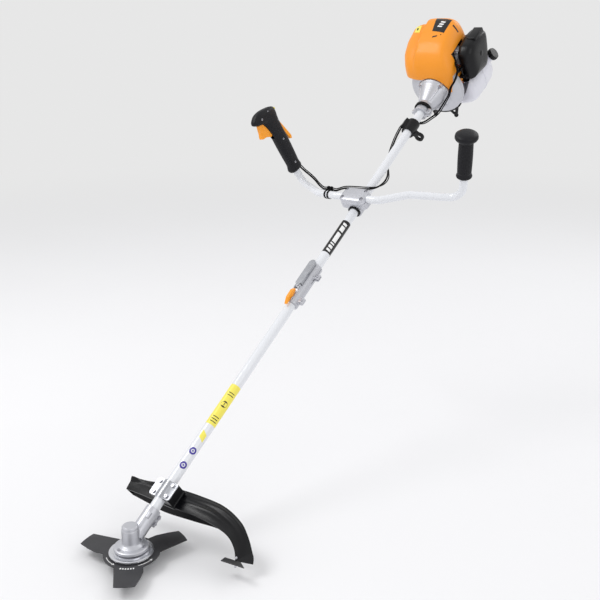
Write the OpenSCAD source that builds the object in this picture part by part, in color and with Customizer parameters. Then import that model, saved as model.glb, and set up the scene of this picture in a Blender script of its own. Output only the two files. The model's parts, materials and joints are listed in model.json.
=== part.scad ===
// Petrol brush cutter: bevel gear head with a three tooth blade, split shaft,
// bull handlebar, harness clamp and a two stroke engine.
// Frame: +Z up, +Y from the blade towards the engine, +X to the plain grip's side.
// The origin is the centre of the harness eye, where the machine hangs in use.

/* [Shaft] */
// Outer diameter of the shaft tube
tube_d = 26; // [24:0.5:28]
// Wall of the shaft tube
tube_wall = 1.6; // [1.2:0.1:2]
// Angle of the shaft above the blade's plane in degrees
rise = 35; // [30:1:40]
// Height of the crossing of blade axis and shaft axis above the blade
apex_z = 26; // [25:0.5:27]

/* [Blade] */
// Diameter over the blade tips
blade_d = 255; // [230:1:255]
// Blade thickness
blade_t = 2; // [1.4:0.1:2.4]
// Number of blade arms
arms = 3; // [3:1:4]
// Blade centre bore
blade_bore = 25.4; // [25.4:0.1:25.4]

/* [Gears] */
// Teeth on the drive pinion
pinion_teeth = 14; // [14:1:14]
// Teeth on the driven gear
gear_teeth = 19; // [19:1:19]

/* [Handlebar] */
// Outer diameter of the handlebar tube
bar_d = 22; // [20:0.5:22]
// Position of the handlebar along the shaft
bar_s = 1092; // [1080:1:1100]
// Height of the handlebar above the shaft axis
bar_u = 28; // [27.5:0.1:29]
// Inside radius of the handlebar bends
bend_r = 42; // [36:1:44]

/* [Harness eye] */
// Position of the harness clamp's eye along the shaft
eye_s = 1425; // [1422:1:1428]
// Diameter of the harness eye
eye_d = 14; // [12:0.5:16]

/* [Engine] */
// Cylinder bore
cylinder_bore = 44; // [40:0.5:44]
// Outer radius of the fan housing
fan_r = 84; // [82:1:85]
// Wall of moulded covers
cover_wall = 2.6; // [2:0.1:3]

/* [Hidden] */
$fn = 48;
gap = 0.05;                      // running clearance on a radius
tr = tube_d / 2;
br = bar_d / 2;
eye_x = 24;
eye_u = -28;

// Stations along the shaft, measured from the blade axis
socket_end = 88;
tube_start = 52;
split_s = 785;
sleeve_s0 = 712;
sleeve_s1 = 848;
lug_s = [730, 815];
clamp_half = 24;
collar_s0 = 1496;
damper_s0 = 1513;
bell_s0 = 1522;
fan_s0 = 1600;
fan_s1 = 1634;
engine_shift = -30;              // engine stations below are moved by this much
case_s0 = 1668;
case_s1 = 1778;
cylinder_s = 1719;
starter_s1 = 1838;

// Row position of a point given across, along and above the shaft
function row(x, s, u) = [x, s * cos(rise) - u * sin(rise), apex_z + s * sin(rise) + u * cos(rise)];
eye = row(eye_x, eye_s, eye_u);

// ---- placing -------------------------------------------------------------

// Puts geometry built about the blade axis into the row frame
module about_blade() translate(-eye) children();

// Puts geometry built about the shaft axis in place: local x is across, -y is up, z is along
module on_shaft(s = 0) about_blade() translate([0, 0, apex_z]) rotate([rise - 90, 0, 0])
    translate([0, 0, s]) children();
module on_engine() on_shaft(engine_shift) children();

// Box given by its limits across, along and above the shaft
module slab(x, s, u) translate([x[0], -u[1], s[0]]) cube([x[1] - x[0], u[1] - u[0], s[1] - s[0]]);

// Round bar along the shaft, and a hollow one
module rod(r, a, b) translate([0, 0, a]) cylinder(r = r, h = b - a);
module sleeve(ro, ri, a, b) difference() {
    rod(ro, a, b);
    rod(ri, a - 1, b + 1);
}

// Round bar across the shaft at a station and height
module cross_rod(r, x, s, u) translate([x[0], -u, s]) rotate([0, 90, 0]) cylinder(r = r, h = x[1] - x[0]);

// Round bar square to the shaft, upwards
module up_rod(r, x, s, u) translate([x, -u[0], s]) rotate([90, 0, 0]) cylinder(r = r, h = u[1] - u[0]);

// Local point of the shaft frame
function loc(p) = [p[0], -p[2], p[1]];
function unit(v) = v / norm(v);

// Frame whose z axis runs along direction d
module along(p, d) {
    z = unit(d);
    a = abs(z[0]) < 0.8 ? [1, 0, 0] : [0, 1, 0];
    x = unit(cross(a, z));
    y = cross(z, x);
    multmatrix([[x[0], y[0], z[0], p[0]], [x[1], y[1], z[1], p[1]], [x[2], y[2], z[2], p[2]], [0, 0, 0, 1]])
        children();
}

// Straight round bar between two points
module bar_between(p, q, r) along(p, q - p) cylinder(r = r, h = norm(q - p));

// ---- sweeps --------------------------------------------------------------

// Smooth path through hand-chosen points
function spline(p, sub) = [for (i = [0:len(p) - 2], k = [0:sub - 1])
    let (t = k / sub, a = p[max(i - 1, 0)], b = p[i], c = p[i + 1], d = p[min(i + 2, len(p) - 1)])
    0.5 * (2 * b + (c - a) * t + (2 * a - 5 * b + 4 * c - d) * t * t + (3 * b - a - 3 * c + d) * t * t * t),
    p[len(p) - 1]];
function tangent(p, i) = unit(p[min(i + 1, len(p) - 1)] - p[max(i - 1, 0)]);
// A side vector carried along the path without twist
function carried(v, t) = unit(v - (v * t) * t);
function sides(p, i, v) = i >= len(p) ? [] :
    let (n = carried(v, tangent(p, i))) concat([n], sides(p, i + 1, n));

// Tube swept along a path
module swept(p, r, n = 8) {
    s = sides(p, 0, [0.31, 0.52, 0.8]);
    pts = [for (i = [0:len(p) - 1], k = [0:n - 1])
        let (t = tangent(p, i), b = cross(t, s[i]), a = 360 * k / n)
        p[i] + r * (cos(a) * s[i] + sin(a) * b)];
    side = [for (i = [0:len(p) - 2], k = [0:n - 1])
        [i * n + k, (i + 1) * n + k, (i + 1) * n + (k + 1) % n, i * n + (k + 1) % n]];
    polyhedron(pts, concat([[for (k = [0:n - 1]) k]],
        [[for (k = [n - 1:-1:0]) (len(p) - 1) * n + k]], side));
}

// ---- gear head -----------------------------------------------------------

ratio_n = gear_teeth / pinion_teeth;
shaft_angle = 90 - rise;
pinion_cone = atan(sin(shaft_angle) / (cos(shaft_angle) + ratio_n));
gear_cone = shaft_angle - pinion_cone;
gear_pitch_r = 15;
cone_len = gear_pitch_r / sin(gear_cone);
face_w = 8;
taper = (cone_len - face_w) / cone_len;
tooth_up = 2.3;                  // addendum angle, degrees
tooth_down = 3.5;                // dedendum angle, degrees

// Outline of a straight bevel gear at its large end
module tooth_outline(teeth, cone, first) {
    h = cone_len * cos(cone);
    tip = h * tan(cone + tooth_up);
    root = h * tan(cone - tooth_down);
    pitch = 360 / teeth;
    polygon([for (i = [0:teeth - 1], k = [[root, -0.29], [tip, -0.11], [tip, 0.11], [root, 0.29]])
        let (a = first + pitch * (i + k[1])) k[0] * [cos(a), sin(a)]]);
}

// Toothed body whose faces all run to the shared apex at the origin
module bevel(teeth, cone, first) {
    h = cone_len * cos(cone);
    translate([0, 0, h]) mirror([0, 0, 1])
        linear_extrude(height = h * (1 - taper), scale = taper) tooth_outline(teeth, cone, first);
}

case_z0 = 13;
case_top = 70;
bearing_ro = 14;
spindle_r = 6;
journal_r = 4;
pinch_u = -20.6;                 // height of the screws that pinch the tube

module gear_case() color([0.72, 0.73, 0.76]) difference() {
    union() {
        about_blade() rotate_extrude($fn = 96) polygon([[0, case_z0], [38.5, case_z0], [38.5, 18.5],
            [36, 20], [27, 22], [20.5, 27], [19.5, 30], [19.5, 60], [18.3, 61.5], [18.3, 67], [15.5, case_top],
            [0, case_top]]);
        on_shaft() rod(18, 17, socket_end);
        on_shaft() slab([-9, 9], [56, 86], [-27, -12]);
        on_shaft() translate([0, 0, 60]) rotate([0, 0, 35]) translate([0, -17, 0]) cylinder(r = 5, h = 14);
    }
    about_blade() {
        translate([0, 0, case_z0 - 1]) cylinder(r = bearing_ro, h = 11);
        translate([0, 0, 22.9]) cylinder(r = 17.2, h = 33.1);
        translate([0, 0, 55.9]) cylinder(r = 11, h = 7.1);
        for (a = [20:120:260]) rotate([0, 0, a]) translate([32, 0, 0]) {
            cylinder(r = 2.1, h = 24);
            translate([0, 0, 21]) cylinder(r = 4, h = 4);
        }
    }
    on_shaft() {
        rod(tr, 15, socket_end + 1);
        slab([-1.1, 1.1], [58, socket_end + 1], [-30, -10]);
        for (s = [63, 79]) cross_rod(2.6, [-12, 12], s, pinch_u);
    }
}

module cutter_spindle() color([0.6, 0.61, 0.64]) about_blade() {
    translate([0, 0, -24]) cylinder(r = spindle_r, h = 80);
    translate([0, 0, 56]) cylinder(r = journal_r, h = 6.9);
}

module driven_gear() color([0.5, 0.5, 0.53]) about_blade() difference() {
    union() {
        translate([0, 0, apex_z]) bevel(gear_teeth, gear_cone, 90);
        translate([0, 0, apex_z + cone_len * cos(gear_cone)]) cylinder(r = 11, h = 3.5);
    }
    translate([0, 0, apex_z]) cylinder(r = spindle_r, h = 40);
}

module drive_pinion() color([0.5, 0.5, 0.53]) on_shaft() {
    bevel(pinion_teeth, pinion_cone, -90 + 180 / pinion_teeth);
    rod(5, cone_len * cos(pinion_cone), 64);
}

// Ball bearing shown as its two races and balls in one cage
module bearing(ro, ri, h) difference() {
    cylinder(r = ro, h = h);
    translate([0, 0, -1]) cylinder(r = ri + gap, h = h + 2);
    for (z = [-1, h - 0.8]) translate([0, 0, z]) difference() {
        cylinder(r = ro - (ro - ri) * 0.3, h = 1.8);
        translate([0, 0, -1]) cylinder(r = ri + (ro - ri) * 0.3, h = 4);
    }
}

// Plain bush that steadies a drive shaft inside a tube
bush_s = [120, 400, 660, 900, 1180, 1450];
drive_r = 4;

module bearings() color([0.66, 0.66, 0.69]) {
    about_blade() {
        translate([0, 0, 14.9]) bearing(bearing_ro, spindle_r, 8);
        translate([0, 0, 56]) bearing(11, journal_r, 7);
    }
    on_shaft() {
        for (s = [30, 40]) translate([0, 0, s]) bearing(tr, 5, 8);
        for (s = bush_s) translate([0, 0, s]) difference() {
            cylinder(r = tr - tube_wall, h = 24);
            translate([0, 0, -1]) cylinder(r = drive_r + gap, h = 26);
        }
        translate([0, 0, 1552]) bearing(14, spindle_r, 10);
    }
    on_engine() for (s = [1676, 1751]) translate([0, 0, s]) bearing(17.5, 7.5, 11);
}

module blade_holder() color([0.8, 0.81, 0.84]) about_blade() rotate_extrude($fn = 96)
    polygon([[spindle_r, -0.4], [blade_bore / 2 - gap, -0.4], [blade_bore / 2 - gap, 1], [46, 1], [50, 3.5],
        [50, 6.5], [46, 7.5], [40.5, 7.5], [40.5, 9.5], [33, 11.5], [spindle_r, 11.5]]);

// One blade arm: two nearly straight cutting edges that widen to the hub
tip_a = -59.6;
tip_b = -39.4;
function polar(r, a) = [r * cos(a), r * sin(a)];
module arm_outline() {
    r = blade_d / 2;
    polygon(concat([for (a = [tip_a:(tip_b - tip_a) / 4:tip_b]) polar(r, a)],
        [polar(r * 0.82, -32.9), polar(r * 0.64, -24.5), polar(60, -18), polar(20, -50), polar(60, -82),
            polar(r * 0.685, -68.2)]));
}

module cutter_blade() color([0.13, 0.13, 0.14]) about_blade() translate([0, 0, 1 - blade_t]) difference() {
    union() {
        cylinder(r = 63, h = blade_t, $fn = 96);
        linear_extrude(blade_t) for (i = [0:arms - 1]) rotate(i * 360 / arms) arm_outline();
    }
    translate([0, 0, -1]) cylinder(r = blade_bore / 2, h = blade_t + 2);
}

module glide_cup() color([0.62, 0.63, 0.66]) about_blade() difference() {
    rotate_extrude($fn = 72) polygon([[0, -1], [30, -1], [30, -2.6], [26, -5], [16, -7.5], [0, -7.5]]);
    translate([0, 0, -10]) cylinder(r = spindle_r, h = 12);
}

module blade_nut() color([0.7, 0.7, 0.73]) about_blade() difference() {
    union() {
        translate([0, 0, -17.5]) cylinder(r = 10.2, h = 8.5, $fn = 6);
        translate([0, 0, -9]) cylinder(r = 12, h = 1.5);
    }
    translate([0, 0, -20]) cylinder(r = spindle_r, h = 14);
}

// ---- blade guard ---------------------------------------------------------

guard_t = 3.6;
// Each row: front lip, top back edge, foot of the back wall, about the blade axis
guard_rows = [
    [[-128, 104, 70], [-130, 128, 88], [-128, 122, 48]],
    [[-72, 102, 75], [-72, 139, 91], [-84, 132, 36]],
    [[-8, 104, 74], [-6, 152, 91], [-32, 137, 27]],
    [[55, 110, 72], [57, 162, 89], [44, 150, 25]],
    [[118, 118, 66], [128, 167, 84], [118, 163, 24]],
    [[172, 122, 51], [184, 160, 68], [178, 154, 20]],
    [[203, 113, 33], [217, 147, 47], [216, 145, 8]],
    [[221, 97, 16], [240, 133, 24], [241, 133, -4]]];
function column(k) = spline([for (r = guard_rows) r[k]], 3);
lip = column(0);
crest = column(1);
hem = column(2);

// Closed shell between an outer and an inner sheet
module guard_shell() {
    n = len(lip);
    function up_dir(i) = unit(cross(crest[i] - lip[i], -tangent(crest, i)));
    function out_dir(i) = unit(cross(tangent(crest, i), hem[i] - crest[i]));
    outer = [for (i = [0:n - 1]) [lip[i], crest[i], hem[i]]];
    inner = [for (i = [0:n - 1]) let (a = up_dir(i), b = out_dir(i), s = b * (crest[i] - lip[i]) > 0 ? 1 : -1)
        [lip[i] - guard_t * a, crest[i] - guard_t * a - s * guard_t * b, hem[i] - s * guard_t * b]];
    pts = [for (i = [0:n - 1]) each concat(outer[i], [inner[i][2], inner[i][1], inner[i][0]])];
    m = 6;
    e = (n - 1) * m;
    ends = [[0, 1, 4], [0, 4, 5], [1, 2, 3], [1, 3, 4]];
    skin = [for (i = [0:n - 2], k = [0:m - 1])
        let (a = i * m + k, b = i * m + (k + 1) % m) each [[a, b, b + m], [a, b + m, a + m]]];
    polyhedron(pts, concat([for (t = ends) [t[2], t[1], t[0]]], [for (t = ends) t + [e, e, e]], skin));
}

module blade_guard() color([0.07, 0.07, 0.08]) difference() {
    union() {
        about_blade() guard_shell();
        // Mounting boss under the shaft
        on_shaft() slab([-30, 30], [112, 160], [-30.5, -20]);
    }
    on_shaft() for (x = [-20, 20], s = [122, 150]) up_rod(2.6, x, s, [-70, -15]);
    cutter_plate();
}

module guard_bracket() color([0.7, 0.71, 0.74]) on_shaft() difference() {
    union() {
        slab([-28, 28], [114, 158], [-19.8, -5]);
        slab([-28, 28], [114, 158], [5.2, 11]);
        sleeve(18, tr, 114, 158);
        slab([-7, 7], [92, 114], [-19.8, -14]);
    }
    rod(tr, 100, 170);
    slab([-40, 40], [100, 170], [-4.9, 5.1]);
    for (x = [-20, 20], s = [122, 150]) up_rod(2.6, x, s, [-40, 30]);
}

module line_cutter() color([0.1, 0.1, 0.11]) cutter_plate();
module cutter_plate() about_blade() along([222, 93.5, 14], [8, 2, -60]) linear_extrude(2, center = true)
    polygon([[-7, -34], [7, -34], [7, 12], [-7, 34]]);

// ---- shafts --------------------------------------------------------------

module lower_tube() color([0.93, 0.93, 0.94]) on_shaft() sleeve(tr, tr - tube_wall, tube_start, split_s - 5);
module upper_tube() color([0.93, 0.93, 0.94]) on_shaft() sleeve(tr, tr - tube_wall, split_s + 5, 1546);

module lower_drive_shaft() color([0.55, 0.55, 0.58]) on_shaft() rod(drive_r, 64, 778);

// The upper shaft carries the socket that takes the lower shaft's end
module upper_drive_shaft() color([0.55, 0.55, 0.58]) on_shaft() {
    difference() {
        rod(8, 762, 800);
        rod(drive_r, 760, 778);
    }
    rod(drive_r, 800, 1550);
}

// ---- split coupling ------------------------------------------------------

module coupling_sleeve() color([0.75, 0.76, 0.79]) on_shaft() difference() {
    union() {
        rod(18, sleeve_s0, sleeve_s1);
        slab([-8, 8], [752, 766], [12, 25]);
        slab([-8, 8], [716, 726], [12, 22]);
        for (s = lug_s) translate([25, 0, s - 8]) cylinder(r = 7, h = 16);
        for (s = lug_s) slab([10, 25], [s - 8, s + 8], [-7, 7]);
    }
    rod(tr, sleeve_s0 - 1, sleeve_s1 + 1);
    slab([0, 36], [790, 860], [-0.9, 0.9]);
    for (s = lug_s) up_rod(2.6, 26, s, [-12, 12]);
    // Ears for the lever and the catch, and their pin holes
    slab([-5.2, 5.2], [745, 770], [18.5, 30]);
    slab([-4.2, 4.2], [712, 730], [18.5, 30]);
    cross_rod(2 + gap, [-20, 20], 759, 21.5);
    cross_rod(1.5 + gap, [-20, 20], 721, 19.6);
}

module coupling_lever() color([0.68, 0.69, 0.7]) on_shaft() difference() {
    union() {
        slab([-10, 10], [768, 842], [19.5, 27]);
        slab([-5, 5], [757, 769], [19.5, 27]);
        cross_rod(2.9, [-5, 5], 759, 21.5);
        translate([0, -23.2, 842]) rotate([90, 0, 0]) translate([0, 0, -3.8]) cylinder(r = 10, h = 7.6);
    }
    cross_rod(2 + gap, [-12, 12], 759, 21.5);
    slab([-12, 12], [756.2, 759], [24.5, 28]);
}

module coupling_catch() color([0.97, 0.62, 0.12]) on_shaft() difference() {
    rotate([0, -90, 0]) translate([0, 0, -4]) linear_extrude(8) polygon([[698, -20], [726, -18.7],
        [746, -22.5], [748, -27], [738, -33], [714, -32], [698, -22]]);
    cross_rod(1.5 + gap, [-12, 12], 721, 19.6);
    slab([-12, 12], [716, 726], [17, 18.7]);
}

// ---- handlebar and grips -------------------------------------------------

// Route of the bar's centre line on each side, as across, along, above
throttle_side = [[0, bar_s, bar_u], [-70, bar_s, bar_u], [-140, 1104, 18], [-258.5, 1174.7, -12],
    [-266, 1180, 31]];
plain_side = [[0, bar_s, bar_u], [74, bar_s, bar_u], [137, 1149, 6], [278, 1181, -17], [293, 1196, 55]];
throttle_lean = unit(throttle_side[4] - throttle_side[3]);
plain_lean = unit(plain_side[4] - plain_side[3]);
throttle_foot = throttle_side[4];
plain_foot = plain_side[4];
bar_in_throttle = 66;
bar_in_plain = 108;

// Centre line of a bent tube: straight runs joined by arcs of one radius
arc_steps = 7;
function bent_path(p, bend) = [for (i = [0:len(p) - 1]) each i == 0 || i == len(p) - 1 ? [p[i]] :
    let (a = unit(p[i] - p[i - 1]), b = unit(p[i + 1] - p[i]), turn = acos(a * b), cut = bend * tan(turn / 2),
        inward = unit(b - (a * b) * a), centre = p[i] - a * cut + inward * bend)
    [for (k = [0:arc_steps]) let (t = turn * k / arc_steps)
        centre + bend * (sin(t) * a - cos(t) * inward)]];

function ends_at(side, lean, extra) = [for (i = [0:4]) i < 4 ? loc(side[i]) : loc(side[4] + lean * extra)];

module handlebar() color([0.93, 0.93, 0.94]) on_shaft() {
    left = bent_path(ends_at(throttle_side, throttle_lean, bar_in_throttle), bend_r);
    right = bent_path(ends_at(plain_side, plain_lean, bar_in_plain), bend_r);
    swept(concat([for (i = [len(left) - 1:-1:1]) left[i]], [for (i = [1:len(right) - 1]) right[i]]), br, 24);
}

module clamp_plate(u) {
    // Pad with round ends, seen from above the shaft
    translate([0, -u[1], bar_s]) rotate([-90, 0, 0]) linear_extrude(u[1] - u[0]) {
        square([58, 2 * clamp_half], center = true);
        square([86, 2 * clamp_half - 28], center = true);
        for (x = [-29, 29], y = [-10, 10]) translate([x, y]) circle(r = 14);
    }
}
clamp_screw_x = 31;
clamp_screw_s = 15.5;
cushion_r = 15.5;

module clamp_base() color([0.62, 0.63, 0.66]) on_shaft() difference() {
    union() {
        clamp_plate([8, bar_u - 0.2]);
        rod(22, bar_s - clamp_half, bar_s + clamp_half);
    }
    rod(cushion_r, bar_s - 50, bar_s + 50);
    slab([-1, 1], [bar_s - 30, bar_s + 30], [-30, -10]);
    cross_rod(br + gap, [-60, 60], bar_s, bar_u);
    for (x = [-1, 1], s = [-1, 1])
        up_rod(2.6, x * clamp_screw_x, bar_s + s * clamp_screw_s, [0, 30]);
}

module clamp_cap() color([0.74, 0.76, 0.79]) on_shaft() difference() {
    union() {
        clamp_plate([bar_u + 0.2, 37]);
        cross_rod(14, [-36, 36], bar_s, bar_u);
    }
    slab([-60, 60], [bar_s - 50, bar_s + 50], [0, bar_u + 0.2]);
    cross_rod(br + gap, [-60, 60], bar_s, bar_u);
    for (x = [-1, 1], s = [-1, 1])
        up_rod(2.6, x * clamp_screw_x, bar_s + s * clamp_screw_s, [20, 50]);
}

// Frame of a grip: x forwards to the blade, y across, z along the grip
module in_grip(foot, lean) {
    g = loc(lean);
    f = unit([0, 0, -1] - (g * [0, 0, -1]) * g);
    l = cross(g, f);
    c = loc(foot);
    on_shaft() multmatrix([[f[0], l[0], g[0], c[0]], [f[1], l[1], g[1], c[1]], [f[2], l[2], g[2], c[2]],
        [0, 0, 0, 1]]) children();
}

module plain_grip() color([0.09, 0.09, 0.1]) in_grip(plain_foot, plain_lean) difference() {
    rotate_extrude($fn = 72) polygon([[0, -6], [20, -6], [21.5, -2], [20, 3], [18, 8], [18.5, 40], [19, 70],
        [18, 100], [24, 106], [29, 110], [30.5, 115], [29, 122], [22, 126], [0, 127]]);
    translate([0, 0, -10]) cylinder(r = br + 3 * gap, h = bar_in_plain + 10.6);
}

// Side outline of the throttle grip, forwards and up, and the hollow inside it
grip_outline = [[-24, -4], [24, 4], [21, 14], [23, 60], [25, 118], [29, 128], [31, 150], [44, 180], [60, 184],
    [72, 192], [68, 203], [44, 211], [15, 214], [-18, 203], [-27, 182], [-22, 158], [-23, 120], [-24, 60],
    [-23, 10]];
grip_hollow = [[-19, 72], [19, 72], [21.5, 118], [26, 130], [28, 152], [42, 184], [60, 188], [67, 193],
    [64, 200], [42, 207], [15, 210], [-15, 200], [-23, 182], [-18.5, 158], [-19.5, 120]];
grip_half = 17;
trigger_pin = [20, 190];
lever_pin = [-13, 160];
pin_r = 2;

module grip_plan(points, y0, y1) translate([0, y1, 0]) rotate([90, 0, 0]) linear_extrude(y1 - y0)
    polygon(points);
module grip_pin(c, r, y0, y1) translate([c[0], y1, c[1]]) rotate([90, 0, 0]) cylinder(r = r, h = y1 - y0);

module grip_shell(side) in_grip(throttle_foot, throttle_lean) difference() {
    y = side > 0 ? [0.1, grip_half] : [-grip_half, -0.1];
    yi = side > 0 ? [-1, grip_half - 2.6] : [2.6 - grip_half, 1];
    grip_plan(grip_outline, y[0], y[1]);
    grip_plan(grip_hollow, yi[0], yi[1]);
    translate([0, 0, -10]) cylinder(r = br, h = bar_in_throttle + 12);
    // Slots for the trigger, the lock-off lever and the stop switch
    translate([15, -6.6, 124]) cube([70, 13.2, 62]);
    translate([-50, -5.6, 76]) cube([36, 11.2, 90]);
    translate([-34, -4.6, 186]) cube([20, 9.2, 12]);
    // Cable exits at the foot
    translate([-20.5, 0, -10]) cylinder(r = 2.9, h = 90);
    translate([-20.5, 4.7, -10]) cylinder(r = 2.2, h = 90);
    translate([-22, 4.7, -10]) cylinder(r = 3.6, h = 11);
}
module grip_shell_outer() color([0.1, 0.1, 0.12]) grip_shell(-1);
module grip_shell_inner() color([0.1, 0.1, 0.12]) grip_shell(1);

module throttle_trigger() color([0.97, 0.62, 0.12]) in_grip(throttle_foot, throttle_lean) difference() {
    union() {
        grip_plan([[14, 186], [16, 196], [24, 196], [40, 183], [57, 182], [60, 172], [63, 160], [69, 147],
            [66, 143], [48, 140], [33, 131], [26, 134], [24, 150]], -6, 6);
        grip_pin(trigger_pin, 6, -6, 6);
    }
    grip_pin(trigger_pin, pin_r + gap, -8, 8);
}

module lock_off_lever() color([0.97, 0.62, 0.12]) in_grip(throttle_foot, throttle_lean) difference() {
    union() {
        grip_plan([[-15, 164], [-9, 160], [-14, 140], [-24, 112], [-33, 84], [-39, 82], [-42, 90], [-30, 130],
            [-21, 158]], -5, 5);
        grip_pin(lever_pin, 4.5, -5, 5);
    }
    grip_pin(lever_pin, pin_r + gap, -8, 8);
}

module stop_switch() color([0.9, 0.85, 0.2]) in_grip(throttle_foot, throttle_lean) {
    translate([-31, -4, 187]) cube([11, 8, 6]);
    translate([-20, -2, 187]) cube([3, 4, 6]);
}

module pivot_pins() color([0.6, 0.61, 0.64]) {
    in_grip(throttle_foot, throttle_lean) {
        grip_pin(trigger_pin, pin_r, 2.6 - grip_half, grip_half - 2.6);
        grip_pin(lever_pin, pin_r, 2.6 - grip_half, grip_half - 2.6);
    }
    on_shaft() {
        cross_rod(2, [-8, 8], 759, 21.5);
        cross_rod(1.5, [-8, 8], 721, 19.6);
    }
}

// ---- cables --------------------------------------------------------------

cable_r = 2.5;
lead_r = 1.6;
// Routes as across, along, above, from the throttle grip to the engine
cable_route = [[-267.6, 1201.8, 40.3], [-265.6, 1200.4, 28.6], [-262, 1199, 19], [-244, 1191, 13],
    [-214, 1174, 15], [-180, 1152, 20], [-148, 1128, 26], [-122, 1112.2, 29.1], [-108.4, 1109.9, 31.1],
    [-94.7, 1107.6, 33], [-81, 1105.2, 35], [-67.4, 1102.9, 36.9], [-50, 1119, 33], [-24, 1130, 26],
    [4, 1138, 20], [22, 1158, 8], [26, 1190, -4], [20, 1224, -12], [2, 1262, -19], [-15, 1300, -12],
    [-20, 1350, 0], [-26, 1400, 4], [-27, 1440, 3], [-20, 1470, -14],
    [4, 1490, -27], [20, 1516, -28], [27, 1545, -32], [38, 1566, -19],
    [56, 1582, 5], [66, 1587, 28], [76, 1607, 43], [78, 1630, 60], [65, 1649, 77], [58, 1659, 79],
    [58, 1670, 79]];
// The lead lies beside the cable: across it in the grip, above it on the bar, then outside it
lead_step = 5.4;
function lead_side(i, p) = i < 2 ? [4.6, 0.2, 0.8] : i == 2 ? [3, 4.2, 1.7] : i < 15 ? [0.3, 4.2, 3.2]
    : i == 15 ? [5, 1.5, 3] : lead_step * unit([p[0], 0, p[2]]);
lead_route = concat([for (i = [0:len(cable_route) - 4]) cable_route[i] + lead_side(i, cable_route[i])],
    [[56, 1668, 98], [44, 1674, 101]]);

module throttle_cable() color([0.05, 0.05, 0.06]) on_shaft()
    swept(spline([for (p = cable_route) loc(p)], 2), cable_r);
module stop_lead() color([0.05, 0.05, 0.06]) on_shaft()
    swept(spline([for (p = lead_route) loc(p)], 2), lead_r, 6);

// Clips that hold the cables to the bar, placed by their distance along its first slanted run
clip_at = [18, 30];
clip_w = 5;
clip_turn = -38;                 // where the cables lie round the bar, degrees
cable_off = 14.2;
lead_off = 19.5;
module cable_clips() color([0.06, 0.06, 0.07]) on_shaft() {
    a = loc(throttle_side[1]);
    d = unit(loc(throttle_side[2]) - a);
    for (t = clip_at) along(a + t * d, d) rotate([0, 0, clip_turn]) linear_extrude(clip_w) difference() {
        union() {
            circle(r = br + 1.8);
            translate([0, -4.3]) square([lead_off, 8.6]);
            translate([lead_off, 0]) circle(r = 4.3);
        }
        circle(r = br);
        translate([cable_off, 0]) circle(r = cable_r + 0.3);
        translate([lead_off, 0]) circle(r = lead_r + 0.3);
    }
}

// ---- harness clamp -------------------------------------------------------

harness_s = [1407, 1452];
eye_angle = atan2(-eye_u, eye_x);
eye_reach = norm([eye_x, eye_u]);

module harness_clamp() color([0.08, 0.08, 0.09]) on_shaft() difference() {
    union() {
        rod(19.5, harness_s[0], harness_s[1]);
        rotate([0, 0, eye_angle]) translate([0, 0, eye_s - 5]) linear_extrude(10) {
            translate([14, -10]) square([eye_reach - 14, 20]);
            translate([eye_reach, 0]) circle(r = 14);
        }
        rotate([0, 0, eye_angle + 180]) translate([14, -8, harness_s[0] + 6]) cube([14, 16, 33]);
    }
    rod(tr, harness_s[0] - 1, harness_s[1] + 1);
    rotate([0, 0, eye_angle + 180]) translate([10, -0.8, harness_s[0] - 1]) cube([24, 1.6, 50]);
    rotate([0, 0, eye_angle]) translate([eye_reach, 0, eye_s - 10]) cylinder(r = eye_d / 2, h = 20);
}

// ---- engine --------------------------------------------------------------

module rubber_rings() color([0.05, 0.05, 0.06]) on_shaft() {
    // Cushion under the handle clamp
    sleeve(cushion_r, tr, bar_s - clamp_half - 4, bar_s + clamp_half + 4);
    sleeve(18, cushion_r, bar_s - clamp_half - 4, bar_s - clamp_half);
    // Damper between shaft and engine
    sleeve(27, tr, damper_s0, bell_s0);
    sleeve(19, tr, bell_s0, 1548);
}

module tube_collar() color([0.68, 0.69, 0.72]) on_shaft() difference() {
    union() {
        rod(22, collar_s0, damper_s0);
        slab([14, 32], [collar_s0, damper_s0], [-8, 8]);
        slab([-30, -14], [collar_s0 + 3, damper_s0 - 3], [-5, 5]);
    }
    rod(tr, collar_s0 - 1, damper_s0 + 1);
    slab([10, 40], [collar_s0 - 1, damper_s0 + 1], [-0.8, 0.8]);
    up_rod(2.6, 27, (collar_s0 + damper_s0) / 2, [-12, 12]);
}

boss_angles = [45, 135, 225, 315];
boss_r = 48.5;
boss_s = 1586;
drum_room = 40.6;
module at_bosses(s) for (a = boss_angles) rotate([0, 0, a]) translate([boss_r, 0, s]) children();

module clutch_housing() color([0.74, 0.75, 0.78]) on_shaft() difference() {
    union() {
        rotate_extrude($fn = 96) polygon([[23.5, bell_s0], [23.5, 1534], [46, 1584], [53, 1592], [53, fan_s0],
            [drum_room, fan_s0], [drum_room, 1579], [24, 1566], [14, 1562], [14, 1552], [9, 1552], [9, 1549],
            [19, 1549], [19, bell_s0]]);
        at_bosses(boss_s) cylinder(r = 6.5, h = fan_s0 - boss_s);
        for (a = boss_angles) rotate([0, 0, a]) translate([0, -2, 0]) rotate([90, 0, 0])
            translate([0, 0, -4]) linear_extrude(4) polygon([[22, 1538], [27, 1538], [50, 1586], [44, 1586]]);
    }
    at_bosses(boss_s - 10) {
        cylinder(r = 2.6, h = 30);
        cylinder(r = 4.8, h = 10);
    }
    rod(14, 1552, 1562);
    rotate_extrude($fn = 96) polygon([[0, 1562], [14, 1562], [24, 1566], [drum_room, 1579],
        [drum_room, 1620], [0, 1620]]);
}

drum_r = 38;
module clutch_drum() color([0.5, 0.5, 0.52]) on_shaft() {
    rod(spindle_r, 1550, 1582);
    difference() {
        rod(drum_r, 1582, 1605);
        rod(drum_r - 2.4, 1585, 1606);
    }
    rod(11, 1567, 1582);
}

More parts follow.
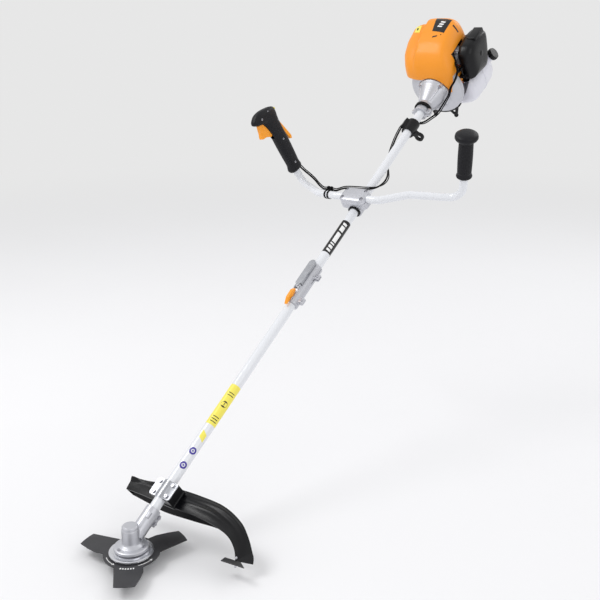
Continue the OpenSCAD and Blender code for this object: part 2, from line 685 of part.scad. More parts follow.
// Two centrifugal shoes with their spring, drawn in, clear of the drum
module clutch_shoes() color([0.4, 0.38, 0.36]) on_shaft() {
    for (a = [0, 180]) rotate([0, 0, a]) difference() {
        sleeve(33, 10, 1588, 1602);
        translate([-40, -40, 1580]) cube([80, 44, 30]);
        translate([-40, 0, 1580]) cube([12, 40, 30]);
    }
    sleeve(9.8, 7.5, 1588, 1602);
}

module fan_housing() color([0.7, 0.71, 0.74]) on_shaft() difference() {
    front = fan_s0 + gap;
    union() {
        rotate_extrude($fn = 120) polygon([[drum_room, front], [53, front], [62, 1603], [fan_r, 1616],
            [fan_r, fan_s1], [fan_r - 3, fan_s1], [fan_r - 3, 1617.5], [61, 1606.2], [52, 1603.2],
            [drum_room, 1603.2]]);
        at_bosses(front) cylinder(r = 6.5, h = 8);
    }
    at_bosses(fan_s0 - 1) cylinder(r = 2.6, h = 12);
}

blades = 24;
module flywheel() color([0.55, 0.56, 0.58]) on_shaft() difference() {
    union() {
        rod(66, 1624, 1629);
        rod(42, 1613, 1626);
        rod(14, 1609, 1613);
        for (i = [0:blades - 1]) rotate([0, 0, i * 360 / blades]) translate([44, -1, 1613]) cube([22, 2, 12]);
    }
    rod(7.5, 1600, 1640);
}

crank_throw = 16;
rod_len = 60;
crank_r = 28;
pin_s = [1712, 1726];

module crankcase() color([0.66, 0.67, 0.7]) on_engine() difference() {
    union() {
        rod(fan_r - 4, fan_s1 - engine_shift, case_s0);
        rod(42.5, case_s0, case_s1);
        slab([-36, 36], [1684, 1756], [0, 42]);
    }
    rod(30, 1690, 1748);
    for (s = [1676, 1751]) rod(17.5, s, s + 11);
    rod(10, 1660, 1790);
    up_rod(22.6, 0, cylinder_s, [0, 50]);
    slab([-40, 40], [1680, 1760], [42, 50]);
}

module crankshaft() color([0.55, 0.55, 0.58]) on_engine() {
    rod(7.5, 1588 - engine_shift, 1693);
    rod(7.5, 1745, 1800);
    for (s = [[1693, pin_s[0]], [pin_s[1], 1745]]) difference() {
        rod(crank_r, s[0], s[1]);
        slab([-40, -14], [1680, 1760], [2, 40]);
        slab([14, 40], [1680, 1760], [2, 40]);
    }
    translate([0, -crank_throw, pin_s[0]]) cylinder(r = 5, h = pin_s[1] - pin_s[0]);
}

module connecting_rod() color([0.6, 0.6, 0.62]) on_engine() difference() {
    union() {
        translate([0, -crank_throw, 1714]) cylinder(r = 10, h = 10);
        translate([0, -crank_throw - rod_len, 1714]) cylinder(r = 8, h = 10);
        slab([-5, 5], [1716, 1722], [crank_throw + 6, crank_throw + rod_len - 5]);
    }
    translate([0, -crank_throw, 1710]) cylinder(r = 5 + gap, h = 20);
    translate([0, -crank_throw - rod_len, 1710]) cylinder(r = 5 + gap, h = 20);
}

piston_u = [crank_throw + rod_len - 14, crank_throw + rod_len + 18];
module piston() color([0.78, 0.78, 0.8]) on_engine() {
    difference() {
        up_rod(cylinder_bore / 2 - gap, 0, cylinder_s, piston_u);
        up_rod(cylinder_bore / 2 - 3, 0, cylinder_s, [piston_u[0] - 1, piston_u[1] - 8]);
    }
    translate([0, -crank_throw - rod_len, cylinder_s - 20]) cylinder(r = 5, h = 40);
}

fin_n = 9;
module cylinder_barrel() {
    up_rod(27, 0, cylinder_s, [42, 126]);
    for (i = [0:fin_n - 1]) up_rod(38, 0, cylinder_s, [62 + i * 7, 64.4 + i * 7]);
    slab([-46, 0], [1704, 1734], [68, 92]);
    slab([0, 42], [1704, 1734], [62, 86]);
    slab([-32, 32], [1690, 1748], [42, 47]);
}
module cylinder_node() color([0.7, 0.71, 0.73]) on_engine() difference() {
    cylinder_barrel();
    up_rod(cylinder_bore / 2, 0, cylinder_s, [30, 100]);
    cross_rod(8, [15, 50], cylinder_s, 74);
    cross_rod(8, [-50, -15], cylinder_s, 80);
    up_rod(5, 0, cylinder_s, [95, 140]);
}

module spark_plug() color([0.12, 0.12, 0.13]) on_engine() {
    up_rod(5, 0, cylinder_s, [104, 126]);
    up_rod(9, 0, cylinder_s, [126, 132]);
    up_rod(7.5, 0, cylinder_s, [132, 144]);
    cross_rod(6, [-2, 20], cylinder_s, 141);
}

module muffler() color([0.35, 0.34, 0.33]) on_engine() {
    slab([-96, -52], [1688, 1750], [46, 108]);
    slab([-52, -46], [1702, 1736], [66, 94]);
    cross_rod(7, [-114, -96], 1700, 64);
}

// Rounded body of the top cover; inset makes its hollow
module cover_body(t) hull() for (c = [[-97, 1648, 6, 24], [-99, 1784, 6, 22], [48, 1646, 6, 22],
    [34, 1786, 6, 20], [-70, 1648, 60, 24], [32, 1648, 60, 24], [-72, 1692, 96, 30], [-80, 1778, 96, 30],
    [4, 1690, 122, 30], [43, 1784, 132, 24], [-18, 1784, 132, 24]])
    translate([c[0], -c[2], c[1]]) sphere(r = c[3] - t, $fn = 28);

module engine_cover() color([0.95, 0.6, 0.16]) on_engine() difference() {
    cover_body(0);
    cover_body(cover_wall);
    slab([-140, 100], [1600, 1900], [-40, 3]);
    // Room for the clutch housing and the fan housing, which the cover wraps
    rod(boss_r + 7.2, 1600, 1645);
    rotate_extrude($fn = 96) polygon([[0, 1629.4], [53.6, 1629.4], [63, 1632.2], [fan_r + 0.6, 1645.2],
        [fan_r + 0.6, 1672], [0, 1672]]);
    // Window to the carburettor side and hole for the exhaust
    slab([20, 100], [1680, 1762], [34, 104]);
    cross_rod(9, [-140, -90], 1700, 64);
    // Room for the starter at the back and for its handle
    rod(79, 1772, 1900);
    rotate([0, 0, starter_turn]) translate([58, -28, 1798]) cube([90, 56, 30]);
}

module carburettor() color([0.62, 0.63, 0.66]) on_engine() difference() {
    union() {
        slab([42, 68], [1702, 1736], [54, 94]);
        up_rod(9, 55, cylinder_s, [94, 97]);
        up_rod(10, 55, cylinder_s, [46, 54]);
        slab([48, 64], [1695, 1702], [73, 85]);
    }
    translate([58, -79, 1690]) cylinder(r = cable_r + 0.6, h = 11);
    up_rod(8 + gap, 55, cylinder_s, [40, 52]);
    cross_rod(8, [30, 80], cylinder_s, 74);
}

module choke_lever() color([0.1, 0.1, 0.11]) on_engine() {
    up_rod(3, 78, 1684, [28, 52]);
    translate([78, -50, 1684]) rotate([90, 0, 0]) linear_extrude(3) {
        circle(r = 6);
        translate([-3, -16]) square([6, 16]);
        translate([0, -16]) circle(r = 4.5);
    }
}

module primer_bulb() color([0.75, 0.2, 0.15, 0.9]) on_engine() {
    translate([55, -44, cylinder_s]) rotate([-90, 0, 0]) difference() {
        union() {
            sphere(r = 8);
            translate([0, 0, -4]) cylinder(r = 8, h = 4);
        }
        translate([-10, -10, -14]) cube([20, 20, 10]);
    }
}

// Side outline of the air filter box, along and above the shaft
filter_outline = [[1694, 4], [1780, -8],
    [1806, 36], [1818, 92], [1806, 104], [1772, 112], [1716, 108], [1694, 88]];
module filter_plan(inset, x0, x1) {
    c = [1765, 60];
    translate([x0, 0, 0]) rotate([90, 0, 90]) linear_extrude(x1 - x0)
        polygon([for (p = filter_outline) let (q = c + (p - c) * (1 - inset / 58)) [-q[1], q[0]]]);
}
module air_filter_base() color([0.08, 0.08, 0.09]) on_engine() difference() {
    union() {
        filter_plan(5, 68, 73);
        slab([60, 68], [1746, 1760], [60, 90]);
        slab([69, 73], [1676, 1706], [20, 28]);
        slab([69, 84], [1676, 1692], [20, 28]);
    }
    cross_rod(8, [60, 80], cylinder_s, 74);
    up_rod(3 + gap, 78, 1684, [10, 40]);
}
module air_filter_cover() color([0.08, 0.08, 0.09]) on_engine() difference() {
    filter_plan(0, 73.2, 118);
    filter_plan(3, 70, 115);
}

starter_turn = 215;              // direction in which the rope leaves, round the shaft axis
module starter_housing() color([0.09, 0.09, 0.1]) on_engine() difference() {
    union() {
        // Flat towards the air filter
        difference() {
            rod(76, 1780, starter_s1 - 8);
            slab([67.5, 100], [1770, 1900], [-100, 100]);
        }
        rod(66, starter_s1 - 8, starter_s1);
        rotate([0, 0, starter_turn]) translate([60, -10, 1800]) cube([26, 20, 24]);
    }
    difference() {
        rod(73, 1779, starter_s1 - 12);
        slab([65, 100], [1770, 1900], [-100, 100]);
    }
    rotate([0, 0, starter_turn]) translate([50, 0, 1812]) rotate([0, 90, 0]) cylinder(r = 3, h = 60);
    for (a = [0:30:330]) rotate([0, 0, a]) translate([36, -4, starter_s1 - 20]) cube([24, 8, 30]);
    rod(3, 1810, 1850);
}
module starter_pulley() color([0.3, 0.3, 0.32]) on_engine() difference() {
    union() {
        rod(34, 1802, 1805);
        rod(27, 1805, 1812);
        rod(34, 1812, 1815);
    }
    rod(6, 1800, 1820);
}
module starter_handle() color([0.08, 0.08, 0.09]) on_engine() rotate([0, 0, starter_turn]) {
    translate([86.2, 0, 1812]) rotate([0, 90, 0]) cylinder(r = 7, h = 8);
    translate([94.2, -24, 1806]) cube([13, 48, 12]);
}

neck_at = [90, 14, 1826];
neck_dir = [0.8, -0.5, 0.2];
// Tank profile across the shaft; t insets it for the hollow
module tank_profile(t) difference() {
    union() {
        translate([-84 + t, 30 + t]) square([184 - 2 * t, 60 - 2 * t]);
        translate([-66 + t, 12 + t]) square([150 - 2 * t, 92 - 2 * t]);
        for (p = [[-64, 84], [80, 84]]) translate(p) circle(r = 20 - t);
        translate([76 + t, 8 + t]) square([24 - 2 * t, 60 - 2 * t]);
    }
    circle(r = 80 + t);
}
module fuel_tank() color([0.9, 0.9, 0.93, 0.75]) on_engine() difference() {
    union() {
        translate([0, 0, 1692]) linear_extrude(154) tank_profile(0);
        along(neck_at, neck_dir) cylinder(r = 15, h = 22);
    }
    translate([0, 0, 1694.4]) linear_extrude(149.2) tank_profile(2.4);
    along(neck_at, neck_dir) translate([0, 0, -4]) cylinder(r = 12, h = 30);
}
module fuel_cap() color([0.06, 0.06, 0.07]) on_engine() along(neck_at, neck_dir) difference() {
    union() {
        translate([0, 0, 15.6]) cylinder(r = 17.5, h = 14.4);
        for (a = [5:20:345]) rotate([0, 0, a]) translate([16.6, -1.4, 17]) cube([2.2, 2.8, 10]);
    }
    translate([0, 0, 12]) cylinder(r = 15 + gap, h = 10 + gap);
}

// Feet on a band that hugs the underside of the fan housing
module engine_stand() color([0.06, 0.06, 0.07]) on_engine() difference() {
    union() {
        difference() {
            rod(fan_r + 5, 1647, 1662);
            slab([-100, 100], [1600, 1700], [-62, 100]);
        }
        for (m = [0, 1]) mirror([m, 0, 0]) {
            bar_between(loc([26, 1651, -84]), loc([36, 1657, -106]), 4);
            translate(loc([36, 1657, -106])) sphere(r = 7);
            bar_between(loc([36, 1657, -106]), loc([46, 1658, -74]), 5);
        }
    }
    rod(fan_r, 1600, 1700, $fn = 120);
}

// ---- fasteners -----------------------------------------------------------

// Socket head screw whose head sits at the origin and whose shank runs down
module screw(r, head_r, head_h, shank) {
    difference() {
        cylinder(r = head_r, h = head_h);
        translate([0, 0, head_h - 1.6]) cylinder(r = head_r * 0.5, h = 3, $fn = 6);
    }
    translate([0, 0, -shank]) cylinder(r = r, h = shank);
}

module screws() color([0.7, 0.7, 0.73]) {
    about_blade() for (a = [20:120:260]) rotate([0, 0, a]) translate([32, 0, 21]) screw(2, 3.6, 2.4, 8);
    on_shaft() {
        for (s = [63, 79]) translate([9, -pinch_u, s]) rotate([0, 90, 0]) screw(2.5, 4.4, 4, 18);
        for (x = [-20, 20], s = [122, 150]) translate([x, -11, s]) rotate([90, 0, 0]) screw(2.5, 4.4, 4, 41);
        for (x = [-1, 1], s = [-1, 1])
            translate([x * clamp_screw_x, -37, bar_s + s * clamp_screw_s]) rotate([90, 0, 0])
                screw(2.5, 4.6, 4, 28);
        for (s = lug_s) translate([26, -7, s]) rotate([90, 0, 0]) screw(2.5, 4.2, 3.6, 14);
        translate([27, -8, (collar_s0 + damper_s0) / 2]) rotate([90, 0, 0]) screw(2.5, 4.4, 4, 16);
        at_bosses(boss_s) rotate([180, 0, 0]) screw(2.5, 4.6, 4, 22);
    }
}

gear_case();
screws();
bearings();
cutter_spindle();
driven_gear();
drive_pinion();
blade_holder();
cutter_blade();
glide_cup();
blade_nut();
guard_bracket();
blade_guard();
line_cutter();
lower_tube();
lower_drive_shaft();
upper_tube();
upper_drive_shaft();
coupling_sleeve();
coupling_lever();
coupling_catch();
pivot_pins();
clamp_base();
clamp_cap();
rubber_rings();
handlebar();
plain_grip();
grip_shell_outer();
grip_shell_inner();
throttle_trigger();
lock_off_lever();
stop_switch();
throttle_cable();
stop_lead();
cable_clips();
harness_clamp();
tube_collar();
clutch_housing();
clutch_drum();
clutch_shoes();
fan_housing();
flywheel();
crankcase();
crankshaft();
connecting_rod();
piston();
cylinder_node();  // cylinder
spark_plug();
muffler();
engine_cover();
carburettor();
choke_lever();
primer_bulb();
air_filter_base();
air_filter_cover();
starter_housing();
starter_pulley();
starter_handle();
fuel_tank();
fuel_cap();
engine_stand();
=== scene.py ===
# Looks of the petrol brush cutter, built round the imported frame.
# Lengths are millimetres in shaft coordinates unless a comment says otherwise: x across, s along
# the shaft from the blade axis, u above the shaft. at() and the matrices give the row frame.
import json
import math

import bmesh
import bpy
from mathutils import Matrix, Vector
from mathutils.bvhtree import BVHTree


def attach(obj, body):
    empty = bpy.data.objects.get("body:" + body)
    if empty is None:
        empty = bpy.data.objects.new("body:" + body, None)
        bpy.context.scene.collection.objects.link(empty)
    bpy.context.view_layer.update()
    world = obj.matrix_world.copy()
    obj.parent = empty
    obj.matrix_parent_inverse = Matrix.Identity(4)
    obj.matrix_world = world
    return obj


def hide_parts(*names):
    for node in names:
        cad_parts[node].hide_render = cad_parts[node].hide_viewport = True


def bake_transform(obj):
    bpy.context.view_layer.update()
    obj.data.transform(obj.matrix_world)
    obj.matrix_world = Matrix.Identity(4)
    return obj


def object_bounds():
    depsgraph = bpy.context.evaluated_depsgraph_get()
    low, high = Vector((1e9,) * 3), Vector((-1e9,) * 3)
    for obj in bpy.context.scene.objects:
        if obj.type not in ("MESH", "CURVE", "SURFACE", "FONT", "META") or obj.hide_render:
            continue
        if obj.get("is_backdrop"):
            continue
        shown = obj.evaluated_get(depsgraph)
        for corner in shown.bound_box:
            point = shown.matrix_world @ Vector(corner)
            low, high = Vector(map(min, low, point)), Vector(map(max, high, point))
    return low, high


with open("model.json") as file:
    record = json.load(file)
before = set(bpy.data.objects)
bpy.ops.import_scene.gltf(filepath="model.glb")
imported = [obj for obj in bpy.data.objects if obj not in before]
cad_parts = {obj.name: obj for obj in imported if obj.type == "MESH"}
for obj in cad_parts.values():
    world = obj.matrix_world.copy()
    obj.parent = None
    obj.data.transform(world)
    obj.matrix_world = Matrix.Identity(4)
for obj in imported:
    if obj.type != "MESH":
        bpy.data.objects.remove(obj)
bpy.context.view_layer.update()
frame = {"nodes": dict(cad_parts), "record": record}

MM = 0.001
RISE = math.radians(35)
ACROSS = Vector((1, 0, 0))
ALONG = Vector((0, math.cos(RISE), math.sin(RISE)))
ABOVE = Vector((0, -math.sin(RISE), math.cos(RISE)))
# The harness eye, which is the row frame's origin
EYE = (24, 1425, -28)
# Height above the blade at which the shaft's line meets the blade's axis
APEX_Z = 26
TUBE_R = 13
BAR_R = 11


def at(x, s, u):
    return ((x - EYE[0]) * ACROSS + (s - EYE[1]) * ALONG + (u - EYE[2]) * ABOVE) * MM


def basis(origin, a, b, c):
    """Matrix from millimetres along three directions to the row frame."""
    m = Matrix((a, b, c)).transposed().to_4x4() @ Matrix.Scale(MM, 4)
    m.translation = origin
    return m


def grip_basis(foot, bend):
    """Along a grip: x forwards to the blade, z up the grip from its foot."""
    up = (at(*foot) - at(*bend)).normalized()
    forward = (-ALONG + ALONG.dot(up) * up).normalized()
    return basis(at(*foot), forward, up.cross(forward), up)


SHAFT = basis(at(0, 0, 0), ACROSS, ALONG, ABOVE)
HEAD = basis(at(0, 0, 0) - Vector((0, 0, APEX_Z * MM)), *Matrix.Identity(3))
THROTTLE = grip_basis((-266, 1180, 31), (-258.5, 1174.7, -12))
PLAIN = grip_basis((293, 1196, 55), (278, 1181, -17))


# ---- materials -------------------------------------------------------------

# Pointiness at which wear on an edge begins and is full
WORN_EDGE = (0.53, 0.62)
ROUGH_DRIFT = 0.07
GRAIN_DEPTH = 0.4


def surface(name, rgb, rough, metal=0.0, mottle=(60, 0.06), grain=(900, 0.08), coat=0.0, wear=0.0,
            through=0.0, soft=0.0, shine=0.5):
    """A procedural finish: colour and roughness drift with mottle, and grain is a fine bump."""
    colour = [(c / 255) ** 2.2 for c in rgb]
    mat = bpy.data.materials.new(name)
    mat.use_nodes = True
    nodes, links = mat.node_tree.nodes, mat.node_tree.links
    shader = nodes["Principled BSDF"]
    place = nodes.new("ShaderNodeTexCoord")

    def noise(scale, detail):
        n = nodes.new("ShaderNodeTexNoise")
        n.inputs["Scale"].default_value = scale
        n.inputs["Detail"].default_value = detail
        links.new(place.outputs["Object"], n.inputs["Vector"])
        return n.outputs["Fac"]

    drift = noise(mottle[0], 4)
    tone = nodes.new("ShaderNodeMix")
    tone.data_type = "RGBA"
    tone.inputs["A"].default_value = [c * (1 - mottle[1]) for c in colour] + [1]
    tone.inputs["B"].default_value = [min(1, c * (1 + mottle[1])) for c in colour] + [1]
    links.new(drift, tone.inputs["Factor"])
    result = tone.outputs["Result"]
    if wear:
        edge = nodes.new("ShaderNodeNewGeometry")
        sharp = nodes.new("ShaderNodeMapRange")
        sharp.inputs["From Min"].default_value, sharp.inputs["From Max"].default_value = WORN_EDGE
        sharp.inputs["To Max"].default_value = wear
        links.new(edge.outputs["Pointiness"], sharp.inputs["Value"])
        worn = nodes.new("ShaderNodeMix")
        worn.data_type = "RGBA"
        links.new(sharp.outputs["Result"], worn.inputs["Factor"])
        links.new(result, worn.inputs["A"])
        worn.inputs["B"].default_value = [min(1, c * 1.5 + 0.08) for c in colour] + [1]
        result = worn.outputs["Result"]
    links.new(result, shader.inputs["Base Color"])
    polish = nodes.new("ShaderNodeMapRange")
    polish.inputs["To Min"].default_value = max(0.03, rough - ROUGH_DRIFT)
    polish.inputs["To Max"].default_value = rough + ROUGH_DRIFT
    links.new(drift, polish.inputs["Value"])
    links.new(polish.outputs["Result"], shader.inputs["Roughness"])
    bump = nodes.new("ShaderNodeBump")
    bump.inputs["Strength"].default_value = grain[1]
    bump.inputs["Distance"].default_value = GRAIN_DEPTH * MM
    links.new(noise(grain[0], 3), bump.inputs["Height"])
    links.new(bump.outputs["Normal"], shader.inputs["Normal"])
    for entry, value in (("Metallic", metal), ("Coat Weight", coat), ("Coat Roughness", 0.08),
                         ("Transmission Weight", through), ("Subsurface Weight", soft),
                         ("Subsurface Radius", (0.02, 0.02, 0.02)), ("Specular IOR Level", shine)):
        shader.inputs[entry].default_value = value
    return mat


# Colour, roughness, metal, mottle's scale and depth, grain's scale and depth, and anything further
FINISHES = {
    "cast_alloy": ((196, 197, 203), 0.4, 0.75, (35, 0.06), (1500, 0.35), {"wear": 0.4}),
    "screw_steel": ((190, 190, 196), 0.3, 0.95, (300, 0.12), (2500, 0.1), {}),
    "steel": ((150, 150, 155), 0.3, 0.95, (120, 0.1), (1800, 0.12), {}),
    "gear_steel": ((120, 118, 116), 0.32, 0.9, (150, 0.14), (1200, 0.15), {}),
    "bright_steel": ((214, 215, 220), 0.24, 0.9, (90, 0.06), (2600, 0.12), {}),
    "blade_steel": ((36, 36, 40), 0.42, 0.2, (45, 0.12), (1800, 0.12), {"wear": 0.5, "shine": 0.3}),
    "dark_steel": ((50, 50, 52), 0.4, 0.5, (60, 0.12), (1500, 0.15), {"wear": 0.5}),
    "white_tube": ((226, 228, 233), 0.22, 0.0, (30, 0.02), (260, 0.03), {"coat": 0.6}),
    "pressed_alloy": ((165, 167, 172), 0.34, 0.75, (60, 0.08), (1600, 0.2), {"wear": 0.4}),
    "orange_control": ((252, 158, 22), 0.34, 0.0, (50, 0.04), (1400, 0.12), {"coat": 0.2}),
    "orange_cover": ((242, 148, 28), 0.46, 0.0, (14, 0.035), (700, 0.05), {"coat": 0.08}),
    "yellow_switch": ((232, 214, 60), 0.4, 0.0, (80, 0.05), (1400, 0.12), {}),
    "black_plastic": ((12, 12, 16), 0.3, 0.0, (40, 0.14), (2200, 0.25), {"wear": 0.08, "shine": 0.3}),
    "black_rubber": ((12, 12, 14), 0.6, 0.0, (70, 0.14), (1600, 0.3), {"shine": 0.25}),
    "grip_rubber": ((17, 17, 23), 0.46, 0.0, (60, 0.12), (1700, 0.35), {"shine": 0.3}),
    "cable_black": ((10, 10, 12), 0.6, 0.0, (90, 0.14), (1500, 0.2), {"shine": 0.15}),
    "exhaust_steel": ((92, 86, 80), 0.5, 0.6, (50, 0.3), (900, 0.3), {}),
    "bulb_rubber": ((196, 66, 44), 0.3, 0.0, (60, 0.08), (900, 0.1), {"through": 0.3}),
    "pulley_plastic": ((80, 80, 86), 0.45, 0.0, (60, 0.1), (1500, 0.2), {}),
    "tank_plastic": ((232, 232, 241), 0.34, 0.0, (22, 0.03), (500, 0.08),
                     {"coat": 0.2, "through": 0.12, "soft": 0.25}),
}
M = {name: surface(name, *numbers, **further) for name, (*numbers, further) in FINISHES.items()}
LABEL_BLACK = surface("label_black", (20, 20, 22), 0.3, 0.0, (40, 0.1), (900, 0.05))
LABEL_WHITE = surface("label_white", (240, 240, 240), 0.35, 0.0, (60, 0.04), (900, 0.05))
LABEL_YELLOW = surface("label_yellow", (244, 230, 96), 0.35, 0.0, (60, 0.04), (900, 0.05))
LABEL_BLUE = surface("label_blue", (66, 56, 150), 0.35, 0.0, (60, 0.06), (900, 0.05))
ROPE = surface("rope", (206, 200, 186), 0.8, 0.0, (500, 0.2), (2600, 0.9))
HOSE = surface("fuel_hose", (190, 120, 96), 0.35, 0.0, (80, 0.08), (900, 0.1), through=0.2)

for entry in frame["record"]["subparts"]:
    node = frame["nodes"][entry["node"]]
    node.data.materials.clear()
    node.data.materials.append(M[entry["material_slot"]])


# ---- building helpers ------------------------------------------------------

# Points closer than this, in metres, are one point
WELD = 0.000002


def solid(name, verts, faces, matrix):
    """A bare mesh object in the row frame with its normals facing out."""
    mesh = bpy.data.meshes.new(name)
    mesh.from_pydata([matrix @ Vector(v) for v in verts], [], faces)
    obj = bpy.data.objects.new(name, mesh)
    bpy.context.scene.collection.objects.link(obj)
    bm = bmesh.new()
    bm.from_mesh(mesh)
    bmesh.ops.remove_doubles(bm, verts=bm.verts, dist=WELD)
    bmesh.ops.recalc_face_normals(bm, faces=bm.faces)
    bm.to_mesh(mesh)
    bm.free()
    return obj


def finish_piece(obj, material, body, replaces, sharp):
    """Gives a solid its material, its body and shading that is smooth up to the angle sharp."""
    obj.data.materials.clear()
    obj.data.materials.append(material)
    obj.data.polygons.foreach_set("use_smooth", [True] * len(obj.data.polygons))
    obj.data.set_sharp_from_angle(angle=math.radians(sharp))
    if body:
        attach(obj, body)
    if replaces:
        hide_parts(*replaces)


def piece(name, verts, faces, matrix, material, body="machine", slot=None, replaces=(), sharp=35):
    obj = solid(name, verts, faces, matrix)
    finish_piece(obj, material, body, replaces, sharp)
    return obj


def apply_modifiers(obj):
    graph = bpy.context.evaluated_depsgraph_get()
    done = bpy.data.meshes.new_from_object(obj.evaluated_get(graph))
    obj.modifiers.clear()
    obj.data = done


def bevel(obj, width, segments):
    m = obj.modifiers.new("bevel", "BEVEL")
    m.width = width * MM
    m.segments = segments


def thicken(obj, thickness, outward):
    m = obj.modifiers.new("thick", "SOLIDIFY")
    m.thickness = thickness * MM
    m.offset = 1 if outward else -1
    apply_modifiers(obj)


def cut(obj, tools, keep=False):
    """Takes the tools' space away from obj, or keeps only what lies in them."""
    for t in tools:
        m = obj.modifiers.new("cut", "BOOLEAN")
        m.operation = "INTERSECT" if keep else "DIFFERENCE"
        m.solver = "EXACT"
        m.object = t
        apply_modifiers(obj)
        bpy.data.objects.remove(t)


def soften(node, voxel, rounds):
    """Fillets a CAD node's edges with a fine remesh and a smooth, as a casting or moulding has."""
    obj = frame["nodes"][node]
    skin = obj.modifiers.new("skin", "REMESH")
    skin.mode = "VOXEL"
    skin.voxel_size = voxel * MM
    skin.use_smooth_shade = True
    fillet = obj.modifiers.new("fillet", "SMOOTH")
    fillet.factor = 0.5
    fillet.iterations = rounds


def circle(turns):
    """Cosine and sine of equal steps round a full turn."""
    return [(math.cos(2 * math.pi * k / turns), math.sin(2 * math.pi * k / turns)) for k in range(turns)]


def arc(radius, start, end, steps):
    angles = [math.radians(start + (end - start) * k / steps) for k in range(steps + 1)]
    return [(radius * math.cos(a), radius * math.sin(a)) for a in angles]


def squared(v, power):
    """Pushes a circle's cosine or sine outwards, towards a rounded square."""
    return math.copysign(abs(v) ** power, v)


def loft(rings, closed_ends=True):
    """Vertices and faces of a tube through rings of equal length."""
    n = len(rings[0])
    verts = [v for ring in rings for v in ring]
    faces = [[i * n + k, i * n + (k + 1) % n, (i + 1) * n + (k + 1) % n, (i + 1) * n + k]
             for i in range(len(rings) - 1) for k in range(n)]
    if closed_ends:
        faces.append(list(range(n))[::-1])
        faces.append([(len(rings) - 1) * n + k for k in range(n)])
    return verts, faces


def sheet(rows):
    """Vertices and faces of an open sheet through rows of equal length, closed flat at its ends."""
    n, w = len(rows), len(rows[0])
    faces = [[i * w + k, i * w + k + 1, (i + 1) * w + k + 1, (i + 1) * w + k]
             for i in range(n - 1) for k in range(w - 1)]
    faces += [list(range(w))[::-1], [(n - 1) * w + k for k in range(w)]]
    return [v for row in rows for v in row], faces


def plate_faces(across, along):
    """Faces of a thin plate: a grid of points, its twin below it and the rim between them."""
    w = across + 1
    n = w * (along + 1)
    faces = []
    for i in range(along):
        for k in range(across):
            q = [i * w + k, i * w + k + 1, (i + 1) * w + k + 1, (i + 1) * w + k]
            faces += [q, [n + j for j in q[::-1]]]
    rim = list(range(across)) + [i * w + across for i in range(along)]
    rim += [along * w + k for k in range(across, 0, -1)] + [i * w for i in range(along, 0, -1)]
    return faces + [[a, n + a, n + b, b] for a, b in zip(rim, rim[1:] + rim[:1])]


def lathe(profile, turns=72):
    """A body of revolution about local z through (radius, height) pairs."""
    return loft([[(r * c, r * h, z) for c, h in circle(turns)] for r, z in profile])


def box_verts(lo, hi):
    verts = [(x, y, z) for x in (lo[0], hi[0]) for y in (lo[1], hi[1]) for z in (lo[2], hi[2])]
    return verts, [[0, 1, 3, 2], [4, 6, 7, 5], [0, 4, 5, 1], [2, 3, 7, 6], [0, 2, 6, 4], [1, 5, 7, 3]]


def tool(verts, faces, matrix):
    """A throwaway solid for cutting, or one that is named and finished later."""
    return solid("tool", verts, faces, matrix)


def box_tool(lo, hi, matrix=SHAFT):
    return tool(*box_verts(lo, hi), matrix)


def rod_tool(radius, s0, s1, matrix=SHAFT, turns=96):
    return tool(*loft([[(radius * c, s, radius * h) for c, h in circle(turns)] for s in (s0, s1)]), matrix)


def bevelled(name, lo, hi, width):
    """A box of black plastic with rounded edges."""
    obj = piece(name, *box_verts(lo, hi), SHAFT, M["black_plastic"], slot="black_plastic", sharp=180)
    bevel(obj, width, 4)


def smooth_path(points, steps):
    """Catmull-Rom curve through the points."""
    p = [Vector(q) for q in points]
    out = []
    for i in range(len(p) - 1):
        a, b, c, d = p[max(i - 1, 0)], p[i], p[i + 1], p[min(i + 2, len(p) - 1)]
        for k in range(steps):
            t = k / steps
            out.append(0.5 * (2 * b + (c - a) * t + (2 * a - 5 * b + 4 * c - d) * t ** 2
                              + (3 * b - a - 3 * c + d) * t ** 3))
    return out + [p[-1]]


def tube_along(path, radius, sides=16):
    rings = []
    side = Vector((0.31, 0.52, 0.8))
    for i, p in enumerate(path):
        t = (path[min(i + 1, len(path) - 1)] - path[max(i - 1, 0)]).normalized()
        side = (side - side.dot(t) * t).normalized()
        other = t.cross(side)
        rings.append([p + radius * (c * side + h * other) for c, h in circle(sides)])
    return loft(rings)


# ---- castings and mouldings kept from CAD ------------------------------------

# Node, remesh size and rounds of smoothing
CASTINGS = [("gear_case", 0.5, 2), ("coupling_sleeve", 0.8, 4), ("coupling_lever", 0.6, 5),
            ("coupling_catch", 0.5, 5), ("clamp_base", 0.8, 6), ("harness_clamp", 0.7, 6),
            ("tube_collar", 0.7, 4), ("clutch_housing", 0.8, 3), ("fan_housing", 1.0, 5),
            ("starter_housing", 1.0, 4), ("fuel_cap", 0.5, 3), ("starter_handle", 0.6, 7),
            ("engine_stand", 0.8, 5), ("throttle_trigger", 0.5, 6), ("lock_off_lever", 0.5, 6),
            ("stop_switch", 0.35, 3), ("muffler", 1.0, 6), ("carburettor", 0.7, 4),
            ("air_filter_base", 0.8, 3), ("choke_lever", 0.4, 3)]
for name, voxel, rounds in CASTINGS:
    soften(name, voxel, rounds)


# ---- handlebar ---------------------------------------------------------------

BAR_S = 1092
BAR_U = 28
BEND = 42
BAR_LEFT = [(0, BAR_S, BAR_U), (-70, BAR_S, BAR_U), (-140, 1104, 18), (-258.5, 1174.7, -12), (-266, 1180, 31)]
BAR_RIGHT = [(0, BAR_S, BAR_U), (74, BAR_S, BAR_U), (137, 1149, 6), (278, 1181, -17), (293, 1196, 55)]
IN_THROTTLE_GRIP = 66
IN_PLAIN_GRIP = 108


